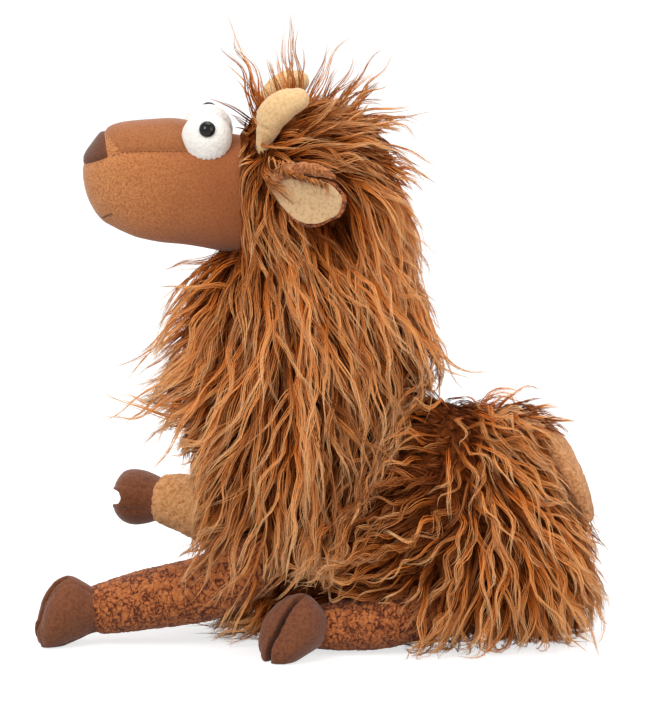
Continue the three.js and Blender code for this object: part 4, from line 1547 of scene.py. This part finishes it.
class Coat:
    """The long coat: locks that grow from the covers, follow the combing and are trimmed."""

    STEPS = 18  # of a lock's middle line
    LEAN = math.radians(12)  # how far above level the trim line is seen from
    THICKNESS = 0.32  # half a strand's width, in millimetres
    FLATNESS = 0.5  # a strand's depth as a share of its width
    FRIZZ = 0.4  # how far a strand winds, in millimetres
    REACH = 185.0  # no lock reaches further back than this
    TRIES = 40  # places picked on the whole cover for each lock of a patch
    CHOICE = 8  # of those in the patch, how many a lock is picked from
    UNEVEN = (0.75, 1.25)  # the shortest and the longest share of the combed length
    TURN = 0.3  # how much of the combing a lock takes on at each step
    NEAR = 25.0  # how far from the skin a lock still slides over it
    PUSH = (-0.35, 7.0)  # how far a step moves a lock in or out
    GROUND = 1.5  # the lowest that a lock's middle lies
    SHORTEST = 5  # a lock trimmed to this many steps or fewer is left out
    MAP_WIDTH = 0.03  # of a strand on its bake map

    def __init__(self, covers: dict[str, bpy.types.Object], solids: list[bpy.types.Object]):
        """Prepares the skin that locks grow from and the solids that they slide over.

        Args:
            covers: the covers by CAD node.
            solids: everything that a lock must not sink into.
        """
        self.covers = covers
        self.cover_trees = {name: tree_of([piece], SHIFT) for name, piece in covers.items()}
        self.tree = tree_of(solids, SHIFT)
        self.marks = np.array([[c.x, c.z] for c in COMBING])
        angles = np.radians([c.angle for c in COMBING])
        self.values = np.column_stack([np.cos(angles), np.sin(angles), [c.length for c in COMBING]])
        self.tone_marks = np.array([[t.x, t.z] for t in TONES])
        self.tone_values = np.array([t.gold for t in TONES])

    def combing(self, place: np.ndarray) -> np.ndarray:
        """Blends the combing marks.

        Args:
            place: rows of places in millimetres.

        Returns:
            For each row the X and Z of its direction, and its length.
        """
        gap = np.sum((place[:, None, [0, 2]] - self.marks[None]) ** 2, axis=2)
        weight = 1 / (gap + 80.0) ** 2
        return weight @ self.values / weight.sum(axis=1, keepdims=True)

    def golden(self, place: np.ndarray) -> np.ndarray:
        """Blends the tones at rows of places."""
        gap = np.sum((place[:, None, [0, 2]] - self.tone_marks[None]) ** 2, axis=2)
        weight = 1 / (gap + 60.0) ** 2
        return weight @ self.tone_values / weight.sum(axis=1)

    def scatter(self, region: Region, count: int, rng: np.random.Generator) -> tuple[np.ndarray, np.ndarray]:
        """Roots a region's locks evenly over its skin.

        Args:
            region: the patch of coat.
            count: how many locks there are.
            rng: the seeded source of random numbers.

        Returns:
            The places and the outward directions.
        """
        piece = self.covers[region.cover]
        points, normals = points_of(piece) - SHIFT, normals_of(piece)
        mesh = piece.data
        mesh.calc_loop_triangles()
        corners = np.array([t.vertices[:] for t in mesh.loop_triangles])
        a, b, c = (points[corners[:, i]] for i in range(3))
        area = np.linalg.norm(np.cross(b - a, c - a), axis=1)
        pick = rng.choice(len(corners), size=count * self.TRIES, p=area / area.sum())
        u, v = rng.random(len(pick)), rng.random(len(pick))
        flip = u + v > 1
        u[flip], v[flip] = 1 - u[flip], 1 - v[flip]
        w = 1 - u - v
        spot = a[pick] * w[:, None] + b[pick] * u[:, None] + c[pick] * v[:, None]
        out = sum(normals[corners[pick, i]] * k[:, None] for i, k in enumerate((w, u, v)))
        fits = np.all((spot >= region.low) & (spot <= region.high), axis=1)
        spot, out = spot[fits][:count * self.CHOICE], unit(out[fits])[:count * self.CHOICE]
        for other, tree in self.cover_trees.items():
            if other != region.cover and len(spot):
                clear = depth_under(tree, spot)[0] > 1.0
                spot, out = spot[clear], out[clear]
        order = rng.permutation(len(spot))
        return self.thinned(spot[order], out[order], count)

    @staticmethod
    def thinned(spot: np.ndarray, out: np.ndarray, count: int) -> tuple[np.ndarray, np.ndarray]:
        """Keeps the points that are furthest from those kept before, so they lie evenly."""
        if len(spot) <= count:
            return spot, out
        kept = [0]
        gap = np.linalg.norm(spot - spot[0], axis=1)
        for _ in range(count - 1):
            best = int(np.argmax(gap))
            kept.append(best)
            gap = np.minimum(gap, np.linalg.norm(spot - spot[best], axis=1))
        return spot[kept], out[kept]

    def guides(self, layer: Layer, spot: np.ndarray, out: np.ndarray, rng: np.random.Generator) -> Locks:
        """Lets each lock's middle line grow out of the skin and follow the combing.

        Args:
            layer: the layer of the coat.
            spot: the roots.
            out: the outward directions there.
            rng: the seeded source of random numbers.

        Returns:
            The locks, each of STEPS + 1 places.
        """
        count = len(spot)
        length = self.combing(spot)[:, 2] * layer.length * rng.uniform(*self.UNEVEN, count)
        step = length / self.STEPS
        jitter = rng.normal(0, layer.spread, (count, 3))
        bend = rng.normal(0, layer.spread, (count, 3))
        height = rng.uniform(0.1, 1.0, count) ** 0.8 * layer.height
        place, heading = spot.copy(), out.copy()
        line, outs = [place.copy()], [out.copy()]
        for i in range(self.STEPS):
            part = (i + 1) / self.STEPS
            values_here = self.combing(place)
            comb = np.stack([values_here[:, 0], np.zeros(count), values_here[:, 1]], axis=1)
            comb = unit(comb) + jitter * (1 - part) + bend * part
            comb = comb - np.sum(comb * out, axis=1, keepdims=True) * out * 0.75
            comb = unit(comb) + out * (layer.stand * max(0.0, 1 - part * 2.4))
            heading = unit(comb) if i == 0 else unit(heading + unit(comb) * self.TURN)
            place = place + heading * step[:, None]
            distance, away = depth_under(self.tree, place)
            margin = 1.0 + height * np.minimum(part * 2.2, 1)
            push = np.clip(margin - distance, *self.PUSH)
            place = place + away * (push * (distance < self.NEAR))[:, None]
            out = unit(out + away * 0.4)
            low = place[:, 2] < self.GROUND
            place[low, 2] = self.GROUND + 0.02 * (self.GROUND - place[low, 2])
            line.append(place.copy())
            outs.append(out.copy())
        line, outs = np.stack(line, axis=1), np.stack(outs, axis=1)
        for _ in range(3):
            line[:, 1:-1] = line[:, 1:-1] * 0.5 + (line[:, :-2] + line[:, 2:]) * 0.25
        return Locks(line, outs)

    def trimmed(self, locks: Locks, rng: np.random.Generator) -> Locks:
        """Cuts the locks where they reach a clearing or pass the trim line.

        Args:
            locks: the locks.
            rng: the seeded source of random numbers.

        Returns:
            The locks that still have some length, drawn over what is left of them.
        """
        line = locks.line
        count = len(line)
        blocked = np.zeros(line.shape[:2], bool)
        for clearing in CLEARINGS:
            blocked |= clearing.holds(line)
        seen = line[..., 2] * math.cos(self.LEAN) + line[..., 1] * math.sin(self.LEAN)
        outside = ~self.inside(np.stack([line[..., 0], seen], axis=-1))
        outside[:, :4] = False
        spare = rng.integers(0, 3, count) + 5 * (rng.random(count) < 0.12)
        wisp = 4 * (rng.random(count) < 0.07)
        stop = np.full(count, self.STEPS)
        for reached, more in ((blocked, wisp), (outside, spare), (line[..., 0] > self.REACH, 0)):
            first = np.where(reached.any(axis=1), reached.argmax(axis=1) + more, self.STEPS)
            stop = np.minimum(stop, first)
        keep = stop > self.SHORTEST
        where = (stop[keep] / self.STEPS)[:, None] * np.arange(self.STEPS + 1)[None]
        return Locks(self.read(locks.line[keep], where), unit(self.read(locks.out[keep], where)))

    @staticmethod
    def read(rows: np.ndarray, where: np.ndarray) -> np.ndarray:
        """Reads rows of lines at fractional steps."""
        first = np.minimum(where.astype(int), rows.shape[-2] - 2)
        part = (where - first)[..., None]
        low = np.take_along_axis(rows, first[..., None], axis=-2)
        high = np.take_along_axis(rows, first[..., None] + 1, axis=-2)
        return low * (1 - part) + high * part

    @staticmethod
    def inside(points: np.ndarray) -> np.ndarray:
        """Tells which points, seen from the side, are inside the trim line."""
        line = np.array(TRIM_LINE, float)
        found = np.zeros(points.shape[:-1], bool)
        for (x0, z0), (x1, z1) in zip(line, np.roll(line, -1, axis=0)):
            crosses = (z0 > points[..., 1]) != (z1 > points[..., 1])
            reach = x0 + (points[..., 1] - z0) / ((z1 - z0) or 1e-9) * (x1 - x0)
            found ^= crosses & (points[..., 0] < reach)
        return found

    def waved(self, region: Region, layer: Layer, locks: Locks, rng: np.random.Generator) -> tuple:
        """Waves and twists the locks' middle lines.

        Args:
            region: the patch of coat.
            layer: the layer of the coat.
            locks: the locks.
            rng: the seeded source of random numbers.

        Returns:
            The middle lines, their flat and their deep directions, the turns of their waves
            and their lengths.
        """
        count = len(locks.line)
        places = np.linspace(0, 1, layer.segments + 1)
        where = np.tile(places * self.STEPS, (count, 1))
        middle, out = self.read(locks.line, where), unit(self.read(locks.out, where))
        ahead = unit(np.gradient(middle, axis=1))
        side = unit(np.cross(ahead, out))
        deep = np.cross(side, ahead)
        twist = rng.normal(0, 0.35, (count, 1, 1)) + rng.normal(0, 0.7, (count, 1, 1)) * places[:, None]
        side, deep = side * np.cos(twist) + deep * np.sin(twist), deep * np.cos(twist) - side * np.sin(twist)
        long = np.linalg.norm(np.diff(middle, axis=1), axis=2).sum(axis=1)
        turns = long[:, None] * places[None] / region.curl * 2 * np.pi * rng.uniform(0.75, 1.3, (count, 1))
        phase = rng.uniform(0, 2 * np.pi, (count, 2, 1))
        strength = region.wave * layer.wave * np.sqrt(np.minimum(long / 60, 1))[:, None]
        strength = strength * rng.uniform(0.3, 1.3, (count, 1)) * np.minimum(places * 2.5, 1)[None]
        middle = middle + side * (strength * np.sin(turns + phase[:, 0]))[..., None]
        middle = middle + deep * (strength * 0.5 * np.sin(turns * 0.8 + phase[:, 1]))[..., None]
        return middle, side, deep, turns, long

    def strands(self, region: Region, layer: Layer, locks: Locks, rng: np.random.Generator) -> tuple:
        """Splits each lock in flat strands that gather towards its tip.

        Args:
            region: the patch of coat.
            layer: the layer of the coat.
            locks: the locks.
            rng: the seeded source of random numbers.

        Returns:
            The strands' places, their flat sides' directions, half their widths and how golden
            each is.
        """
        count, per = len(locks.line), layer.strands
        places = np.linspace(0, 1, layer.segments + 1)
        middle, side, deep, turns, long = self.waved(region, layer, locks, rng)
        across = rng.uniform(-1, 1, (count, per))
        stacked = rng.uniform(-1, 1, (count, per)) * np.sqrt(1 - across ** 2)
        width = layer.lock_width * rng.uniform(0.55, 1.45, (count, 1)) * np.minimum(long / 45, 1)[:, None]
        stray = rng.random((count, per)) < layer.stray
        gather = (0.75 + 0.5 * np.minimum(places * 3, 1)) * (1 - places ** 1.2 * 0.94)
        gather = np.where(stray[..., None], 1 + places * 1.3, gather)
        u = (width * across)[..., None] * gather
        v = (width * 0.4 * stacked)[..., None] * gather
        own = rng.uniform(0, 2 * np.pi, (count, per, 2, 1))
        rate = rng.uniform(0.7, 1.5, (count, per, 1)) * turns[:, None]
        shake = self.FRIZZ * np.minimum(places * 3, 1) * np.where(stray, 2.4, 1.0)[..., None]
        u = u + shake * np.sin(rate + own[:, :, 0])
        v = v + shake * np.sin(rate * 1.3 + own[:, :, 1])
        hair = middle[:, None] + side[:, None] * u[..., None] + deep[:, None] * v[..., None]
        trim = 1 - 0.3 * np.abs(across) * rng.random((count, per)) - 0.22 * rng.random((count, per))
        hair = self.read(hair, trim[..., None] * np.arange(layer.segments + 1))
        hair[..., 2] = np.maximum(hair[..., 2], 0.8)
        flat = np.broadcast_to(side[:, None], hair.shape)
        taper = 0.55 + 0.45 * np.minimum(places * 4, 1) - 0.85 * places ** 2.4
        half = self.THICKNESS * taper * rng.uniform(0.7, 1.35, (count, per, 1))
        gold = self.golden(locks.line[:, self.STEPS // 2])[:, None] + layer.gold
        gold = gold + rng.normal(0, 0.26, (count, 1)) + rng.normal(0, 0.16, (count, per))
        shape = (count * per, len(places), 3)
        gold = np.clip(gold, 0.08, 0.96).ravel()
        return hair.reshape(shape), flat.reshape(shape), half.reshape(shape[:2]), gold

    def mesh(self, name: str, hair: np.ndarray, flat: np.ndarray, half: np.ndarray,
             gold: np.ndarray) -> bpy.types.Object:
        """Skins the strands with flattened three-sided tubes that end in a point.

        Args:
            name: the new object's name.
            hair: the strands' places.
            flat: the directions that their sections are wide in.
            half: half their width at each place.
            gold: how golden each strand is.

        Returns:
            The new object, with its bake map.
        """
        count, rings, _ = hair.shape
        rings -= 1
        ahead = unit(np.gradient(hair, axis=1))
        deep = unit(np.cross(ahead, flat))
        side = np.cross(deep, ahead)
        angles = np.arange(3) * 2 * np.pi / 3 + np.pi / 6
        wide, thick = np.cos(angles)[:, None], np.sin(angles)[:, None] * self.FLATNESS
        ring = side[:, :rings, None] * wide + deep[:, :rings, None] * thick
        ring = hair[:, :rings, None] + ring * half[:, :rings, None, None]
        points = np.concatenate([ring.reshape(count, -1, 3), hair[:, rings:]], axis=1)
        size = rings * 3 + 1
        quads = []
        for r in range(rings - 1):
            for i in range(3):
                a, b = r * 3 + i, r * 3 + (i + 1) % 3
                quads.append((a, b, b + 3, a + 3))
        tris = [(rings * 3 - 3 + i, rings * 3 - 3 + (i + 1) % 3, rings * 3) for i in range(3)] + [(2, 1, 0)]
        loop = np.array([i for f in quads for i in f] + [i for f in tris for i in f])
        sizes = np.array([4] * len(quads) + [3] * len(tris))
        loops = (loop[None] + (np.arange(count) * size)[:, None]).ravel()
        starts = np.concatenate([[0], np.cumsum(np.tile(sizes, count))[:-1]])
        mesh = bpy.data.meshes.new(name)
        mesh.vertices.add(count * size)
        mesh.vertices.foreach_set("co", (points.reshape(-1) * MM).astype(np.float32))
        mesh.loops.add(len(loops))
        mesh.loops.foreach_set("vertex_index", loops.astype(np.int32))
        mesh.polygons.add(len(starts))
        mesh.polygons.foreach_set("loop_start", starts.astype(np.int32))
        self.add_map(mesh, count, rings, gold)
        mesh.update(calc_edges=True)
        mesh.polygons.foreach_set("use_smooth", np.ones(len(starts), bool))
        mesh.validate()
        piece = bpy.data.objects.new(name, mesh)
        bpy.context.scene.collection.objects.link(piece)
        return piece

    def add_map(self, mesh: bpy.types.Mesh, count: int, rings: int, gold: np.ndarray) -> None:
        """Lays out the strands' map: U by how golden, V from root to tip."""
        width = self.MAP_WIDTH
        uv = []
        for r in range(rings - 1):
            for i in range(3):
                left, right = width * i / 3, width * (i + 1) / 3
                low, high = r / rings, (r + 1) / rings
                uv += [(left, low), (right, low), (right, high), (left, high)]
        top = (rings - 1) / rings
        for i in range(3):
            uv += [(width * i / 3, top), (width * (i + 1) / 3, top), (width * (i + 0.5) / 3, 1.0)]
        uv += [(width, 0.0), (width / 2, 0.0), (0.0, 0.01)]
        uv = np.tile(np.array(uv)[None], (count, 1, 1))
        uv[..., 0] += gold[:, None]
        layer = mesh.uv_layers.new(name="OFBake")
        layer.uv.foreach_set("vector", uv.reshape(-1).astype(np.float32))

    def grow(self, region: Region, layer: Layer, finishes: Finishes) -> None:
        """Grows one layer of one region of the coat.

        Args:
            region: the patch of coat.
            layer: the layer.
            finishes: the materials.
        """
        rng = np.random.default_rng(region.seed + layer.seed)
        spot, out = self.scatter(region, int(region.locks * layer.share), rng)
        locks = self.trimmed(self.guides(layer, spot, out, rng), rng)
        piece = self.mesh(f"{region.name}_{layer.word}", *self.strands(region, layer, locks, rng))
        finish_piece(piece, finishes.coat, region.body, (region.cover,))


@dataclass
class EarFringe:
    """Long pile at an ear's root that sweeps over it, and short ends that fall over its roll."""

    side: Side
    sweeping: int = 18
    falling: int = 34
    clearance: float = 1.2
    span: float = 50.0  # how far along the ear the short ends fall

    def build(self, coat: Coat, finishes: Finishes) -> None:
        """Grows the fringe, which moves with the ear."""
        s = self.side.value
        word = self.side.word
        rng = np.random.default_rng(91 + s)
        ear = Ear(self.side)
        root = np.array(ear.root) * np.array([1, s, 1])
        out = unit(np.array([-0.6, 0.8 * s, 0.0]))
        rows = []
        for _ in range(self.sweeping):
            start = (rng.uniform(-8, 6), rng.uniform(5, 18), 0)
            end = (rng.uniform(10, 34), rng.uniform(-10, 6), 2)
            rows.append((start, (start[0] + 2, (start[1] + end[1]) / 2 + 2, 8), end))
        for number in range(self.falling):
            place = self.span * (number + rng.uniform(-0.4, 0.4)) / self.falling
            start = (place - 2, 14 - place * 0.1, -3)
            end = (place + rng.uniform(0, 7), rng.uniform(4, 11) - place * 0.12, 2)
            rows.append((start, (place, 27 - place * 0.15, 4), end))
        lines = [arc(*(root + ear.ahead() * p[0] + UP * p[1] + out * p[2] for p in row)) for row in rows]
        line = self.draped(np.array(lines), out)
        region = Region(f"ear_fringe_{word}", f"ear_{word}", len(rows), wave=1.0, body=f"{word}_ear")
        locks = Locks(line, np.broadcast_to(out, line.shape))
        hair, flat, half, gold = coat.strands(region, TUFT, locks, rng)
        piece = coat.mesh(region.name, hair, flat, half * 0.8, np.clip(gold + 0.1, 0.1, 0.95))
        finish_piece(piece, finishes.coat, region.body, (region.cover,))

    def draped(self, line: np.ndarray, out: np.ndarray) -> np.ndarray:
        """Lays the locks on the ear, seen against its outward direction."""
        pieces = [bpy.data.objects[name.format(self.side.word)] for name in
                  ("ear_back_{}", "ear_roll_{}", "ear_lining_cover_{}")]
        tree = tree_of(pieces, SHIFT)
        reach = 40.0
        points = line.reshape(-1, 3).copy()
        for i, point in enumerate(points):
            hit = tree.ray_cast(Vector(point + out * reach), Vector(-out))
            if hit[0] is not None:
                points[i] = point + out * max(0.0, reach - hit[3] + self.clearance)
        points = points.reshape(line.shape)
        points[:, 1:-1] = points[:, 1:-1] * 0.5 + (points[:, :-2] + points[:, 2:]) * 0.25
        return points


@dataclass
class CrownTuft:
    """Long upright locks between the horns, each with its own tip."""

    tips: list = field(default_factory=lambda: [
        (-69, -6, 415), (-66, 10, 374), (-31, 14, 399), (-24, -8, 412), (16, 6, 397), (36, -10, 387),
        (44, 16, 380), (69, -14, 345), (60, 14, 324)])
    locks: int = 80
    # Single dark hairs that reach over the eyeballs, each from its root to its tip
    wisps: list = field(default_factory=lambda: [
        ((-47, -4, 334), (-66, -8, 347)), ((-50, -8, 333), (-62, -12, 337)), ((-46, 2, 337), (-83, -2, 358))])

    def build(self, coat: Coat, finishes: Finishes) -> None:
        """Grows the tuft from the head's crown."""
        rng = np.random.default_rng(77)
        region = Region("crown_tuft_locks", "head_hood", self.locks, wave=1.8)
        lines = []
        for number in range(region.locks):
            which = number % len(self.tips)
            main = number < len(self.tips)
            share = 1.0 if main else rng.uniform(0.3, 0.8)
            x = -40 + 60 * which / (len(self.tips) - 1) + rng.normal(0, 4)
            root = np.array([x, rng.normal(0, 12), 338.0])
            tip = root + (np.array(self.tips[which], float) - root) * share * 1.06
            tip = tip + rng.normal(0, 0 if main else 6, 3)
            middle = root * 0.45 + tip * 0.55
            middle[2] += 10 * share
            lines.append(arc(root, middle, tip))
        for root, tip in self.wisps:
            root, tip = np.array(root, float), np.array(tip, float)
            lines.append(arc(root, (root + tip) / 2 + np.array([0, 0, 2.5]), tip))
        line = np.array(lines)
        out = np.broadcast_to(unit(np.array([0.0, -1.0, 0.2])), line.shape)
        hair, flat, half, gold = coat.strands(region, TUFT, Locks(line, out), rng)
        thin = len(self.wisps) * TUFT.strands
        half[-thin:] *= 1.1
        gold[-thin:] = 0.05
        piece = coat.mesh(region.name, hair, flat, half, gold)
        finish_piece(piece, finishes.coat, "body", ("crown_tuft",))


# The coat's patches: name, cover, locks, wave and curl, then the lowest and highest X and Z
PATCHES = (
    ("brow", "head_hood", 120, 1.6, 44, (-300, 0), (-24, 500)),
    ("poll", "head_hood", 160, 1.6, 44, (-24, 0), (300, 500)),
    ("chest", "neck", 190, 2.0, 44, (-300, 0), (-14, 500)),
    ("nape", "neck", 150, 2.0, 40, (-14, 0), (300, 500)),
    ("brisket", "torso", 80, 2.0, 44, (-300, 3), (0, 500)),
    ("flank", "torso", 160, 3.4, 27, (0, 3), (92, 500)),
    ("rump", "torso", 160, 2.3, 40, (92, 3), (300, 500)),
    ("tail", "tail", 26, 2.0, 40, (0, 0), (142, 500)),
)


def coat_regions() -> list[Region]:
    """Lists the patches of both sides; the one that the photograph hides has half the locks."""
    made = []
    for side, share, seed, low, high in ((Side.LEFT, 1.0, 10, -300, 0), (Side.RIGHT, 0.5, 20, 0, 300)):
        for number, (word, cover, locks, wave, curl, (x0, z0), (x1, z1)) in enumerate(PATCHES):
            made.append(Region(
                f"coat_{word}_{side.word}", cover, int(locks * share), seed + number, wave, curl,
                (x0, low, z0), (x1, high, z1), "tail" if cover == "tail" else "body"))
    return made


def leg_set() -> list[Leg]:
    """Lists the four legs, with the same spines as the solids."""
    fore, hind = (23, 22, 21.5, 20, 17), (22, 18.8, 17, 14.5)
    made = [
        Leg("front_leg_left", (-50, -34, 54),
            [(-64, -33, 46), (-80, -31, 37), (-115, -29, 29), (-150, -28, 21)],
            fore, (-0.97, -0.22, 0.08), (0, 1, 0), "left_front_leg"),
        Leg("front_leg_right", (-50, 34, 54),
            [(-60, 40, 59), (-70, 46, 65), (-90, 55, 72), (-109, 62, 75)],
            fore, (-0.82, 0.56, -0.08), (0, 0.21, 0.98), "right_front_leg", grounded=False, cleft=7.8),
    ]
    for side in Side:
        s = side.value
        spine = [(36, s * 50, 20.5), (12, s * 53, 18), (-8, s * 55, 16.5)]
        made.append(Leg(f"hind_leg_{side.word}", (62, s * 42, 30), spine, hind, (-0.64, s * 0.73, 0.2),
                        (0, 1, 0), f"{side.word}_hind_leg", cleft=3.4))
    return made


# What a lock slides over: every cover but the linings, the eyeballs and the hoof that is held up
SOLIDS = ("snout_cheeks", "torso_cover", "neck_cover", "head_cover", "front_leg_left_cover",
          "front_leg_right_cover", "hind_leg_left_cover", "hind_leg_right_cover", "front_hoof_left_cover",
          "hind_hoof_left_cover", "hind_hoof_right_cover", "tail_cover", "horn_cover_left",
          "horn_cover_right", "ear_back_left", "ear_back_right")


def main() -> None:
    """Builds the animal piece by piece."""
    logging.basicConfig(level=logging.INFO, format="%(message)s")
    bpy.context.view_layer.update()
    Studio().build()
    finishes = Finishes()
    covers = BodyCovers()
    covers.build(finishes)
    Snout().build(finishes)
    for side in Side:
        Eye(side).build(finishes)
        Horn(side).build(finishes)
        Ear(side).build(finishes)
    for leg in leg_set():
        leg.build(finishes)
    tail = Tail().build(finishes)
    coat = Coat({**covers.made, "tail": tail}, [bpy.data.objects[name] for name in SOLIDS])
    for region in coat_regions():
        for layer in (FUZZ, UNDERFUR, TOPCOAT):
            coat.grow(region, layer, finishes)
    CrownTuft().build(coat, finishes)
    for side in Side:
        EarFringe(side).build(coat, finishes)
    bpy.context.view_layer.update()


if __name__ == "__main__":
    main()
